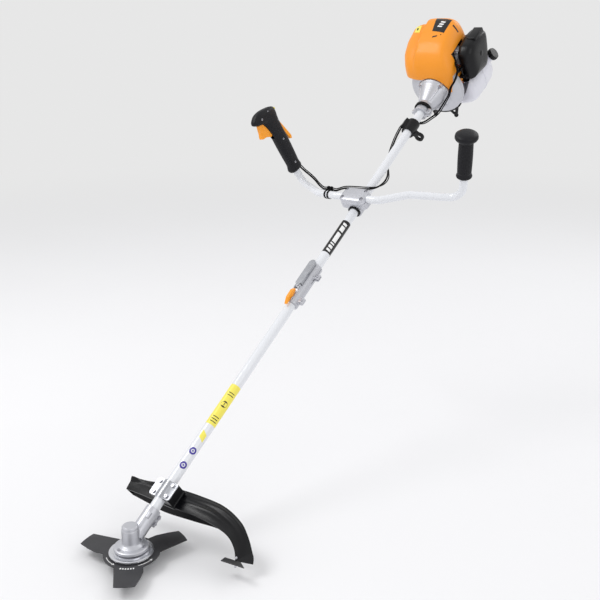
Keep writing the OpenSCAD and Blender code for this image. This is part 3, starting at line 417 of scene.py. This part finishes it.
def bent(points, radius, steps=14):
    """Straight runs joined by arcs."""
    p = [Vector(q) for q in points]
    out = [p[0]]
    for i in range(1, len(p) - 1):
        a, b = (p[i] - p[i - 1]).normalized(), (p[i + 1] - p[i]).normalized()
        turn = a.angle(b)
        inward = (b - a.dot(b) * a).normalized()
        centre = p[i] - a * radius * math.tan(turn / 2) + inward * radius
        out += [centre + radius * (math.sin(turn * k / steps) * a - math.cos(turn * k / steps) * inward)
                for k in range(steps + 1)]
    return out + [p[-1]]


def half_bar(route, extra):
    """One half of the bar from the clamp, with its last run lengthened into the grip."""
    up = (Vector(route[4]) - Vector(route[3])).normalized()
    return bent(route[:4] + [tuple(Vector(route[4]) + up * extra)], BEND)


bar_path = half_bar(BAR_LEFT, IN_THROTTLE_GRIP)[:0:-1] + half_bar(BAR_RIGHT, IN_PLAIN_GRIP)[1:]
piece("handlebar_tube", *tube_along(bar_path, BAR_R, 40), SHAFT, M["white_tube"],
      slot="white_tube", replaces=["handlebar"], sharp=50)


# ---- blade guard ---------------------------------------------------------------

# Front lip, top back edge and foot of the back wall, about the blade axis, from left to right
GUARD_ROWS = [
    ((-128, 104, 70), (-130, 128, 88), (-128, 122, 48)),
    ((-72, 102, 75), (-72, 139, 91), (-84, 132, 36)),
    ((-8, 104, 74), (-6, 152, 91), (-32, 137, 27)),
    ((55, 110, 72), (57, 162, 89), (44, 150, 25)),
    ((118, 118, 66), (128, 167, 84), (118, 163, 24)),
    ((172, 122, 51), (184, 160, 68), (178, 154, 20)),
    ((203, 113, 33), (217, 147, 47), (216, 145, 8)),
    ((221, 97, 16), (240, 133, 24), (241, 133, -4))]
GUARD_T = 3.6
GUARD_ARCH = 1.8
GUARD_BULGE = 3
# Ridges pressed into the top: share along, share across, half length and height
RIDGES = ((0.52, 0.38, 0.17, 5.5), (0.63, 0.74, 0.2, 5), (0.02, 0.85, 0.06, 9), (0.17, 0.85, 0.05, 7))
RIDGE_WIDE = 0.13


def guard_section(lip, crest, hem, along):
    """Points from the lip over the rounded top to the crest, and down the bulging back to the hem."""
    out = []
    for k in range(15):
        t = k / 14
        ridge = sum(h * math.exp(-((along - s0) / w) ** 2) * math.exp(-((t - t0) / RIDGE_WIDE) ** 2)
                    for s0, t0, w, h in RIDGES)
        out.append(lip.lerp(crest, t) + Vector((0, 0, GUARD_ARCH * math.sin(math.pi * t) + ridge)))
    for k in range(1, 13):
        t = k / 12
        out.append(crest.lerp(hem, t) + Vector((0, GUARD_BULGE * math.sin(math.pi * t), 0)))
    return out


def blade_guard():
    edges = [smooth_path([row[k] for row in GUARD_ROWS], 9) for k in range(3)]
    last = len(edges[0]) - 1
    rows = [guard_section(*points, i / last) for i, points in enumerate(zip(*edges))]
    verts, faces = sheet(rows)
    obj = solid("guard_shell", verts, faces, HEAD)
    thicken(obj, GUARD_T, obj.data.polygons[len(faces) // 2].normal.z < 0)
    cut(obj, [rod_tool(15.5, 60, 220)])
    finish_piece(obj, M["black_plastic"], "machine", ["blade_guard"], 38)


blade_guard()
# The boss by which the guard hangs under the shaft
bevelled("guard_boss", (-30, 112, -30.5), (30, 160, -19.8), 3)


# Stations of the pressed saddle over the tube, and half its width there
SADDLE = ((114, 26), (115, 29), (118, 31.5), (124, 32), (148, 32), (154, 31.5), (157, 29), (158, 26))


def bracket():
    """A moulded base under the tube and a pressed saddle over it, held by four screws."""
    base = box_tool((-27.5, 114, -20), (27.5, 158, 8))
    cut(base, [rod_tool(TUBE_R + 0.05, 100, 170)])
    base.name = "bracket_base"
    finish_piece(base, M["black_plastic"], "machine", ["guard_bracket"], 30)
    bevel(base, 1.5, 3)
    section = [(32, 8.4), (32, 11), (13.5, 11)] + arc(TUBE_R + 2.3, 42, 138, 24)
    section += [(-13.5, 11), (-32, 11), (-32, 8.4), (-9.95, 8.4)] + arc(TUBE_R + 0.05, 138, 42, 24)
    rings = [[(max(-wide, min(wide, x)), s, u) for x, u in section] for s, wide in SADDLE]
    piece("bracket_saddle", *loft(rings), SHAFT, M["pressed_alloy"], slot="cast_alloy",
          replaces=["guard_bracket"], sharp=30)


bracket()


# ---- handle clamp -----------------------------------------------------------------

LID_X = 40
LID_S = 26
LID_SQUARE = 0.44
# How far the lid's outline is drawn in at each height
LID_ROUND = ((0, 28.2), (0, 38), (1.2, 41), (3.5, 42.8), (7, 43.6), (16, 44))
LID_SCREWS = [(x, s) for x in (-31, 31) for s in (-15.5, 15.5)]


def clamp_lid():
    """The cushion shaped cap over the handlebar, with its screws in counterbores."""
    rings = [[((LID_X - inset) * squared(c, LID_SQUARE), BAR_S + (LID_S - inset) * squared(h, LID_SQUARE), u)
              for c, h in circle(96)] for inset, u in LID_ROUND]
    lid = tool(*loft(rings), SHAFT)
    across = basis(at(0, BAR_S, BAR_U), ABOVE, ACROSS, ALONG)
    upright = [basis(at(x, BAR_S + s, 0), ACROSS, ABOVE, ALONG) for x, s in LID_SCREWS]
    cut(lid, [rod_tool(BAR_R + 0.25, -60, 60, across)] + [rod_tool(5.6, 37.2, 60, m) for m in upright])
    lid.name = "clamp_lid"
    finish_piece(lid, M["cast_alloy"], "machine", ["clamp_cap"], 30)


clamp_lid()


# ---- line cutter -----------------------------------------------------------------

RIVET = [(0.01, 2.2), (1.6, 2.1), (2.8, 1.5), (3.3, 0.6), (3.3, -0.4), (0.01, -0.4)]

bevel(frame["nodes"]["line_cutter"], 0.4, 1)
for k, z in enumerate((-12, 10)):
    where = HEAD @ Matrix.Translation((223.4 - 0.13 * z, 96, 14 - z)) @ Matrix.Rotation(math.pi / 2, 4, "Y")
    piece(f"line_cutter_rivet_{k}", *lathe(RIVET, 24), where, M["screw_steel"], slot="screw_steel")


# ---- throttle grip --------------------------------------------------------------

# Height up the grip, its back and front edge, and half its thickness
GRIP_RINGS = [(-4, -22, 20, 13), (0, -24, 23, 15.5), (6, -24.4, 24, 16.6), (13, -23, 22, 15.5),
              (22, -22.6, 20.5, 14.4), (45, -23.4, 21.8, 15), (75, -24, 23.6, 15.4),
              (100, -23.6, 24.4, 15.4), (118, -23, 25, 15.2), (130, -22.6, 28, 15.2),
              (146, -22.2, 31, 15.6), (160, -22.4, 35, 16), (172, -24, 40, 16.4), (178, -25.4, 44, 16.7),
              (181.5, -26.4, 54, 16.9), (184, -26.8, 61, 17), (188, -27, 67.5, 17), (192, -26.6, 71.5, 16.9),
              (197, -25, 71.5, 16.6), (201, -21, 69, 16), (205, -12, 64, 14.6), (209, 3, 58, 12.4),
              (212, 16, 51, 9), (213.8, 26, 43, 5)]
GRIP_SQUARE = 2 / 2.7
# Half the gap between the two shells
SHELL_GAP = 0.12
# Slots for the trigger, the trigger's pivot, the lock-off lever and the stop switch
GRIP_SLOTS = [((15, -6.6, 120), (90, 6.6, 180.5)), ((9, -6.6, 170), (30, 6.6, 200)),
              ((-50, -5.6, 76), (-8, 5.6, 168)), ((-40, -4.6, 186), (-14, 4.6, 198))]
# Forward place, height up the grip and depth of each shell screw
GRIP_SCREWS = [(0, 22, 14.6), (2, 104, 15.4), (10, 200, 15.8), (44, 195, 16.4)]


def oval(z, back, front, half):
    middle, reach = (front + back) / 2, (front - back) / 2
    return [(middle + reach * squared(c, GRIP_SQUARE), half * squared(h, GRIP_SQUARE), z)
            for c, h in circle(56)]


def throttle_grip():
    edges = smooth_path([(z, back, front) for z, back, front, _ in GRIP_RINGS], 3)
    halves = smooth_path([(z, half, 0) for z, _, _, half in GRIP_RINGS], 3)
    whole = loft([oval(*edge, half.y) for edge, half in zip(edges, halves)])
    for side, name in ((-1, "grip_shell_outer"), (1, "grip_shell_inner")):
        obj = tool(*whole, THROTTLE)
        obj.name = name + "_skin"
        y = sorted((SHELL_GAP * side, 40 * side))
        cut(obj, [box_tool((-60, y[0], -20), (100, y[1], 240), THROTTLE)], keep=True)
        up_grip = THROTTLE @ Matrix.Rotation(math.pi / 2, 4, "X")
        cut(obj, [box_tool(lo, hi, THROTTLE) for lo, hi in GRIP_SLOTS]
            + [rod_tool(BAR_R + 0.02, -20, 68, up_grip, turns=64)])
        finish_piece(obj, M["grip_rubber"], "machine", [name], 40)


throttle_grip()
for k, (forward, z, depth) in enumerate(GRIP_SCREWS):
    where = THROTTLE @ Matrix.Translation((forward, 0, z)) @ Matrix.Rotation(-math.pi / 2, 4, "X")
    head = [(0.01, depth - 1), (1.4, depth - 1), (1.5, depth), (3, depth), (3, depth - 2), (0.01, depth - 2)]
    piece(f"grip_screw_{k}", *lathe(head, 24), where, M["screw_steel"], slot="screw_steel")


# ---- plain grip -----------------------------------------------------------------

GRIP_RIBS = 22
GRIP_BORE = [(0.01, 108.3), (11.2, 108.3), (11.2, -6)]
GRIP_FLANGE = [(19, -6), (20.6, -4.6), (21.4, -2), (20.2, 2), (18.4, 6)]
GRIP_KNOB = [(18.2, 100), (19.5, 103), (24, 106.4), (28.4, 109), (30.2, 112.4), (30.4, 116), (29.2, 120.6),
             (25, 124), (16, 126.2), (8, 126.9), (0.01, 127)]


def plain_grip():
    ribs = []
    for k in range(GRIP_RIBS):
        z = 10 + k * 4
        base = 18.2 + 0.7 * math.sin(math.pi * k / (GRIP_RIBS - 1))
        ribs += [(base, z), (base + 0.75, z + 0.8), (base + 0.75, z + 2.2), (base, z + 3)]
    profile = GRIP_BORE + GRIP_FLANGE + ribs + GRIP_KNOB
    piece("plain_grip_rubber", *lathe(profile, 96), PLAIN, M["grip_rubber"], slot="grip_rubber",
          replaces=["plain_grip"], sharp=50)


plain_grip()


# ---- stickers on the shaft --------------------------------------------------------

# Angle round the tube on which the stickers are centred, and how low their undersides lie
FACING = math.radians(49)
STUCK = 0.02


def wrap(name, s0, s1, a0, a1, material, lift=0.12, slant=0.0):
    """A sticker on the tube between two stations and two angles round it."""
    around, lengthways = 20, 8
    outer, inner = [], []
    for i in range(lengthways + 1):
        for k in range(around + 1):
            a = FACING + math.radians(a0 + (a1 - a0) * k / around)
            s = s0 + (s1 - s0) * i / lengthways + slant * (k / around - 0.5)
            for r, rows in ((TUBE_R + lift, outer), (TUBE_R + STUCK, inner)):
                rows.append((r * math.cos(a), s, r * math.sin(a)))
    piece(name, outer + inner, plate_faces(around, lengthways), SHAFT, material)


def disc_on_tube(name, s, r0, r1, material, lift=0.24):
    """A round mark or ring on the tube."""
    rings = []
    for rad, up in ((r0, lift), (r1, lift), (r1, STUCK), (r0, STUCK)):
        ring = []
        for c, h in circle(32):
            b = FACING + rad * h / TUBE_R
            ring.append(((TUBE_R + up) * math.cos(b), s + rad * c, (TUBE_R + up) * math.sin(b)))
        rings.append(ring)
    verts, faces = loft(rings, closed_ends=False)
    n = len(rings[0])
    faces += [[3 * n + k, 3 * n + (k + 1) % n, (k + 1) % n, k] for k in range(n)]
    piece(name, verts, faces, SHAFT, material)


wrap("label_band", 898, 1018, -150, 150, LABEL_BLACK)
for k, (a, b) in enumerate(((904, 911), (915, 924), (928, 933), (937, 972), (978, 996), (1000, 1008))):
    wrap(f"label_bar_{k}", a, b, -24, 30, LABEL_WHITE, 0.2, slant=3)
wrap("yellow_band", 322, 440, -110, 110, LABEL_YELLOW)
for k, s in enumerate((330, 337, 344, 408, 415)):
    wrap(f"yellow_band_line_{k}", s, s + 2, -40, 36, LABEL_BLACK, 0.2)
disc_on_tube("yellow_band_disc", 382, 0.01, 8.5, LABEL_BLACK)
disc_on_tube("yellow_band_ring", 382, 3, 4.6, LABEL_YELLOW, 0.3)
wrap("yellow_tag", 278, 298, -34, 34, LABEL_YELLOW, 0.12, slant=10)
for name, s in (("round_icon_a", 245), ("round_icon_b", 205)):
    disc_on_tube(name, s, 4.6, 9, LABEL_BLUE)
    disc_on_tube(name + "_core", s, 0.01, 2.2, LABEL_BLUE)


# ---- marks on the blade -------------------------------------------------------------

# Heights of the print's underside and face above the middle of the blade
PRINT = (1.01, 1.14)


def flat_arc(name, r0, r1, a0, a1):
    steps = max(2, int(abs(a1 - a0) / 3))
    corners = [(r0, PRINT[0]), (r1, PRINT[0]), (r1, PRINT[1]), (r0, PRINT[1])]
    rings = []
    for i in range(steps + 1):
        a = math.radians(a0 + (a1 - a0) * i / steps)
        rings.append([(r * math.cos(a), r * math.sin(a), z) for r, z in corners])
    piece(name, *loft(rings), HEAD, LABEL_WHITE, "cutter")


# Arrows for the way the blade turns, and a row of ticks
for k, mid in enumerate((-105, -10)):
    flat_arc(f"turn_arrow_{k}", 55, 56.4, mid - 17, mid + 17)
    tip = math.radians(mid + 21)
    back = math.radians(mid + 15)
    corners = [(r * math.cos(a), r * math.sin(a)) for r, a in ((59, back), (55.7, tip), (52.4, back))]
    piece(f"turn_arrow_{k}_head", *loft([[(x, y, z) for x, y in corners] for z in PRINT]), HEAD,
          LABEL_WHITE, "cutter")
for k in range(6):
    flat_arc(f"blade_tick_{k}", 60.5, 65, -66 + k * 5.2, -63.2 + k * 5.2)


# ---- cables ---------------------------------------------------------------------------

CABLE = [(-267.6, 1201.8, 40.3), (-265.6, 1200.4, 28.6), (-262, 1199, 19), (-244, 1191, 13),
         (-214, 1174, 15), (-180, 1152, 20), (-148, 1128, 26), (-122, 1112.2, 29.1), (-108.4, 1109.9, 31.1),
         (-94.7, 1107.6, 33), (-81, 1105.2, 35), (-67.4, 1102.9, 36.9), (-50, 1119, 33), (-24, 1130, 26),
         (4, 1138, 20), (22, 1158, 8), (26, 1190, -4), (20, 1224, -12), (2, 1262, -19), (-15, 1300, -12),
         (-20, 1350, 0), (-26, 1400, 4), (-27, 1440, 3), (-20, 1470, -14), (4, 1490, -27),
         (20, 1516, -28), (27, 1545, -32), (38, 1566, -19), (56, 1582, 5), (66, 1587, 28),
         (76, 1607, 43), (78, 1630, 60), (65, 1649, 77), (58, 1659, 79), (58, 1670, 79)]
LEAD_ENDS = [(56, 1668, 98), (44, 1674, 101)]
LEAD_STEP = 5.4
CABLE_R = 2.5
LEAD_R = 1.6


def lead_point(i, p):
    """The lead lies across the cable in the grip, above it on the bar, then outside it."""
    if i < 2:
        off = Vector((4.6, 0.2, 0.8))
    elif i == 2:
        off = Vector((3, 4.2, 1.7))
    elif i < 15:
        off = Vector((0.3, 4.2, 3.2))
    elif i == 15:
        off = Vector((5, 1.5, 3))
    else:
        off = LEAD_STEP * Vector((p[0], 0, p[2])).normalized()
    return Vector(p) + off


LEAD = [lead_point(i, p) for i, p in enumerate(CABLE[:-2])] + LEAD_ENDS
for name, route, radius, sides in (("throttle_cable", CABLE, CABLE_R, 16), ("stop_lead", LEAD, LEAD_R, 12)):
    piece(name + "_sheath", *tube_along(smooth_path(route, 10), radius, sides), SHAFT, M["cable_black"],
          slot="cable_black", replaces=[name], sharp=60)


# ---- engine cover -------------------------------------------------------------------------

# Station, half width's left and right ends, height of the left shoulder and of the raised crown
COVER_ROWS = [(1594, -66, 66, 66, 72), (1606, -84, 69, 84, 94), (1630, -101, 69, 104, 122),
              (1660, -114, 68, 120, 140), (1700, -121, 64, 131, 151), (1745, -121, 60, 139, 158),
              (1778, -120, 56, 138, 156)]
COVER_T = 2.6
COVER_FOOT = 3
# Rounding at the front; the back's runs over a longer stretch
COVER_ROUND = 24
COVER_BACK = (1746, 32)
# Across: the step from the shoulder to the crown, and the crown's fall towards the air filter
COVER_STEP = (-60, -48)
COVER_FALL = (34, 74, 14)
COVER_SQUARE = (0.42, 0.4)
# What the front leaves free: its lower edge rises to the left of the clutch housing
COVER_SLANT = [(1560, -20), (1560, 52), (1622, 47), (1664, 20), (1690, 3), (1690, -20)]
HOUSING_ROOM = [(0.01, 1580), (55.8, 1580), (55.8, 1600), (63, 1602), (84.8, 1615), (84.8, 1642),
                (0.01, 1642)]


def blend_step(v, a, b):
    t = min(1, max(0, (v - a) / (b - a)))
    return t * t * (3 - 2 * t)


def cover_row(s):
    for p, q in zip(COVER_ROWS, COVER_ROWS[1:]):
        if s <= q[0]:
            t = (s - p[0]) / (q[0] - p[0])
            return [a + (b - a) * t for a, b in zip(p, q)][1:]
    return COVER_ROWS[-1][1:]


def cover_point(turn, s, inset):
    """A point of the cover: turn runs from its right foot over the top to its left foot."""
    left, right, shoulder, crown = cover_row(s)
    mid = (left + right) / 2
    x = mid + ((right - left) / 2 - inset) * squared(math.cos(turn), COVER_SQUARE[0])
    high = shoulder + (crown - shoulder) * blend_step(x, *COVER_STEP) - inset
    high -= COVER_FALL[2] * blend_step(x, *COVER_FALL[:2])
    return (x, s, COVER_FOOT + (high - COVER_FOOT) * math.sin(turn) ** COVER_SQUARE[1])


def engine_cover():
    turns = 110
    quarter = [math.pi / 2 * k / 8 for k in range(9)]
    stations = [(COVER_ROWS[0][0] + COVER_ROUND * (1 - math.sin(a)), COVER_ROUND * (1 - math.cos(a)))
                for a in quarter[::-1]]
    stations += [(s, 0) for s in range(1626, COVER_BACK[0] + 1, 8)]
    stations += [(COVER_BACK[0] + COVER_BACK[1] * math.sin(a), COVER_ROUND * (1 - math.cos(a)))
                 for a in quarter[1:]]
    rows = [[cover_point(math.pi * k / turns, s, inset) for k in range(turns + 1)] for s, inset in stations]
    obj = solid("cover_shell", *sheet(rows), SHAFT)
    thicken(obj, COVER_T, obj.data.polygons[0].normal.dot(ALONG) > 0)
    exhaust = SHAFT @ Matrix.Translation((0, 1670, 64)) @ Matrix.Rotation(math.pi / 2, 4, "Z")
    along_s = SHAFT @ Matrix.Rotation(-math.pi / 2, 4, "X")
    cut(obj, [tool(*lathe(HOUSING_ROOM, 120), along_s),
              rod_tool(79, 1742, 1900),
              tool(*loft([[(x, s, u) for s, u in COVER_SLANT] for x in (-140, 0)]), SHAFT),
              box_tool((20, 1650, 34), (100, 1732, 104)),
              rod_tool(9, 90, 140, exhaust)])
    finish_piece(obj, M["orange_cover"], "machine", ["engine_cover"], 34)
    return obj


cover = BVHTree.FromObject(engine_cover(), bpy.context.evaluated_depsgraph_get())
MARK_T = 0.25


def on_cover(name, corners, material, lift=0.35):
    """A thin mark laid on the cover; its corners are given across and along, seen from above."""
    grid = 10
    a, b, c, d = [Vector(p) for p in corners]
    hits = []
    for i in range(grid + 1):
        for k in range(grid + 1):
            q = a.lerp(b, k / grid).lerp(d.lerp(c, k / grid), i / grid)
            start = at(0, 0, 300) + (ACROSS * q.x + ALONG * q.y) * MM + ABOVE * 0.1
            place, normal, *_ = cover.ray_cast(start, -ABOVE)
            hits.append((place, normal if normal.dot(ABOVE) > 0 else -normal))
    verts = [p + n * lift * MM for p, n in hits] + [p + n * (lift - MARK_T) * MM for p, n in hits]
    piece(name, verts, plate_faces(grid, grid), Matrix.Identity(4), material)


on_cover("cover_emblem", [(-15, 1700), (26, 1695), (29, 1752), (-24, 1758)], LABEL_BLACK)
for k, (x, s) in enumerate(((1, 1718), (3, 1727), (5, 1736))):
    on_cover(f"cover_emblem_bar_{k}", [(x - 7, s), (x + 8, s - 2), (x + 10, s + 3), (x - 5, s + 5)],
             LABEL_WHITE, 0.6)
on_cover("cover_sticker", [(-93, 1722), (-73, 1718), (-77, 1748), (-99, 1751)], LABEL_YELLOW)
on_cover("cover_sticker_mark", [(-88, 1730), (-82, 1729), (-84, 1739), (-90, 1740)], LABEL_BLACK, 0.6)
# Painted shade: two flat black marks laid where small recesses in the cover lie in shade; the cover has no
# hollow there
on_cover("cover_painted_recess_shade_a", [(-6, 1676), (8, 1680), (8, 1685), (-6, 1681)], LABEL_BLACK, 0.3)
on_cover("cover_painted_recess_shade_b", [(38, 1731), (52, 1728), (52, 1733), (38, 1737)], LABEL_BLACK, 0.3)


# ---- air filter cover --------------------------------------------------------------------

# Outline along and above the shaft
FILTER = [(1664, 4), (1708, -3), (1748, -9), (1762, 10), (1776, 38), (1784, 66), (1788, 92), (1776, 104),
          (1742, 112), (1714, 111), (1686, 108), (1668, 96), (1664, 86), (1662, 48)]
FILTER_MID = Vector((1735, 60))
FILTER_HALF = 58
# Place across, and how far the outline is drawn in there
FILTER_ROUND = ((73.3, 1.5), (74.4, 0.4), (84, 0.2), (98, 1), (106, 3), (111.6, 7), (115, 13), (117, 21),
                (117.8, 32), (118, 46))


def filter_cover():
    outline = smooth_path([(s, u, 0) for s, u in FILTER + FILTER[:1]], 5)[:-1]
    rings = []
    for x, inset in FILTER_ROUND:
        drawn = [FILTER_MID + (p.xy - FILTER_MID) * (1 - inset / FILTER_HALF) for p in outline]
        rings.append([(x, q.x, q.y) for q in drawn])
    piece("filter_cover_shell", *loft(rings), SHAFT, M["black_plastic"], slot="black_plastic",
          replaces=["air_filter_cover"], sharp=50)


filter_cover()
# The raised box at the top of the filter cover, and its knob
bevelled("filter_intake", (82, 1716, 96), (112, 1774, 114.5), 4)
knob = SHAFT @ Matrix.Translation((112, 1722, 58)) @ Matrix.Rotation(math.pi / 2, 4, "Y")
piece("filter_knob", *lathe([(9, 0), (9, 5), (8.2, 6.6), (6, 7.4), (0.01, 7.6)], 40), knob,
      M["black_plastic"], slot="black_plastic")


# ---- fuel tank ---------------------------------------------------------------------------------

TANK_MID = (8, -50)
TANK_HALF = (91, 52)
TANK_SQUARE = 0.66
# Station, and how far the outline is drawn in there, with the seam at the middle
TANK_ROUND = ((1664, 26), (1664.8, 19), (1667, 13), (1671, 7.5), (1677, 3.4), (1685, 1), (1694, 0),
              (1735, -1.2), (1738, -1.2), (1738.6, -2.4), (1741.4, -2.4), (1742, -1.2), (1745, -1.2),
              (1786, 0), (1795, 1), (1803, 3.4), (1809, 7.5), (1813, 13), (1815.2, 19), (1816, 26))
TANK_NECK = [(20, -12), (17, -3), (15.6, 3), (14.95, 8), (14.95, 21.9), (12, 21.9), (12, -8)]


def fuel_tank():
    """Blow moulded tank hugging the crankcase from below, with a seam round its middle."""
    rings = [[(TANK_MID[0] + (TANK_HALF[0] - inset) * squared(c, TANK_SQUARE), s,
               TANK_MID[1] + (TANK_HALF[1] - inset) * squared(h, TANK_SQUARE)) for c, h in circle(96)]
             for s, inset in TANK_ROUND]
    obj = tool(*loft(rings), SHAFT)
    obj.name = "tank_shell"
    cut(obj, [rod_tool(81, 1600, 1900, turns=128), box_tool((-150, 1600, -12), (40, 1900, 40))])
    finish_piece(obj, M["tank_plastic"], "machine", ["fuel_tank"], 30)
    direction = (0.8 * ACROSS + 0.2 * ALONG + 0.5 * ABOVE).normalized()
    side = direction.cross(ALONG).normalized()
    neck = basis(at(90, 1796, -14), side, direction.cross(side), direction)
    piece("tank_neck", *lathe(TANK_NECK, 48), neck, M["tank_plastic"], slot="tank_plastic", sharp=60)


fuel_tank()


# ---- fuel hose and starter rope -------------------------------------------------------------

HOSE_ROUTE = [(66, 1664, -8), (64, 1654, 8), (63, 1652, 28), (62, 1656, 44), (60, 1668, 56)]
PULL = Vector((math.cos(math.radians(215)), 0, -math.sin(math.radians(215))))

piece("fuel_hose", *tube_along(smooth_path(HOSE_ROUTE, 8), 2.2, 14), SHAFT, HOSE)
rope_path = [PULL * r + Vector((0, 1782, 0)) for r in range(30, 101, 2)]
rope = piece("starter_rope", *tube_along(rope_path, 1.7, 12), SHAFT, ROPE, body=None, slot="grip_rubber")
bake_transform(rope)


# ---- stage ------------------------------------------------------------------------------------

# Lengths here are metres in the row frame
HAZE = 0.8
HAZE_FROM = 1.4
HAZE_FULL = 6
FLOOR_HALF = 60
FLOOR_GAP = 0.004
LIGHTS = (("key", (-1.8, -2.2, 2.6), 1.4, 48), ("fill", (3.0, -1.6, 1.4), 2.0, 14),
          ("rim", (0.8, 2.6, 2.4), 1.6, 24))
LIT_POINT = Vector((0, -0.4, -0.2))
LENS = 51.0
SENSOR = 36
# The camera's place from the middle of the blade, in millimetres, and the way it is turned
CAMERA_AT = Vector((1295, -1092, 1080))
CAMERA_RIGHT = Vector((0.7978, 0.6030, 0))
CAMERA_FORWARD = Vector((-0.5778, 0.7645, -0.2859))


def floor_finish():
    """Matt floor that fades to the background's own brightness far from the object."""
    mat = surface("floor", (236, 236, 238), 0.9, mottle=(2, 0.01), grain=(20, 0.02), shine=0.1)
    nodes, links = mat.node_tree.nodes, mat.node_tree.links
    place = nodes.new("ShaderNodeTexCoord")
    distance = nodes.new("ShaderNodeVectorMath")
    distance.operation = "LENGTH"
    links.new(place.outputs["Object"], distance.inputs[0])
    fade = nodes.new("ShaderNodeMapRange")
    fade.interpolation_type = "SMOOTHSTEP"
    fade.inputs["From Min"].default_value = HAZE_FROM
    fade.inputs["From Max"].default_value = HAZE_FULL
    links.new(distance.outputs["Value"], fade.inputs["Value"])
    glow = nodes.new("ShaderNodeEmission")
    glow.inputs["Strength"].default_value = HAZE
    mix = nodes.new("ShaderNodeMixShader")
    links.new(fade.outputs["Result"], mix.inputs["Fac"])
    links.new(nodes["Principled BSDF"].outputs["BSDF"], mix.inputs[1])
    links.new(glow.outputs["Emission"], mix.inputs[2])
    links.new(mix.outputs["Shader"], nodes["Material Output"].inputs["Surface"])
    return mat


def stage():
    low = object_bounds()[0][2] - FLOOR_GAP
    mesh = bpy.data.meshes.new("floor")
    r = FLOOR_HALF
    mesh.from_pydata([(-r, -r, low), (r, -r, low), (r, r, low), (-r, r, low)], [], [[0, 1, 2, 3]])
    floor = bpy.data.objects.new("floor", mesh)
    bpy.context.scene.collection.objects.link(floor)
    floor.data.materials.append(floor_finish())
    floor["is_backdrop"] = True
    world = bpy.data.worlds.new("studio")
    world.use_nodes = True
    background = world.node_tree.nodes["Background"]
    background.inputs["Color"].default_value = (1, 1, 1, 1)
    background.inputs["Strength"].default_value = HAZE
    bpy.context.scene.world = world
    for name, where, size, power in LIGHTS:
        data = bpy.data.lights.new(name, "AREA")
        data.size = size
        data.energy = power
        light = bpy.data.objects.new(name, data)
        light.location = where
        light.rotation_euler = (LIT_POINT - Vector(where)).to_track_quat("-Z", "Y").to_euler()
        bpy.context.scene.collection.objects.link(light)


def camera():
    data = bpy.data.cameras.new("camera")
    data.lens = LENS
    data.sensor_width = SENSOR
    cam = bpy.data.objects.new("camera", data)
    right = CAMERA_RIGHT.normalized()
    forward = CAMERA_FORWARD.normalized()
    up = right.cross(forward)
    m = Matrix((right, up, -forward)).transposed().to_4x4()
    m.translation = at(0, 0, 0) + (CAMERA_AT - Vector((0, 0, APEX_Z))) * MM
    cam.matrix_world = m
    bpy.context.scene.collection.objects.link(cam)
    bpy.context.scene.camera = cam


stage()
camera()
bpy.context.scene.view_settings.view_transform = "Standard"
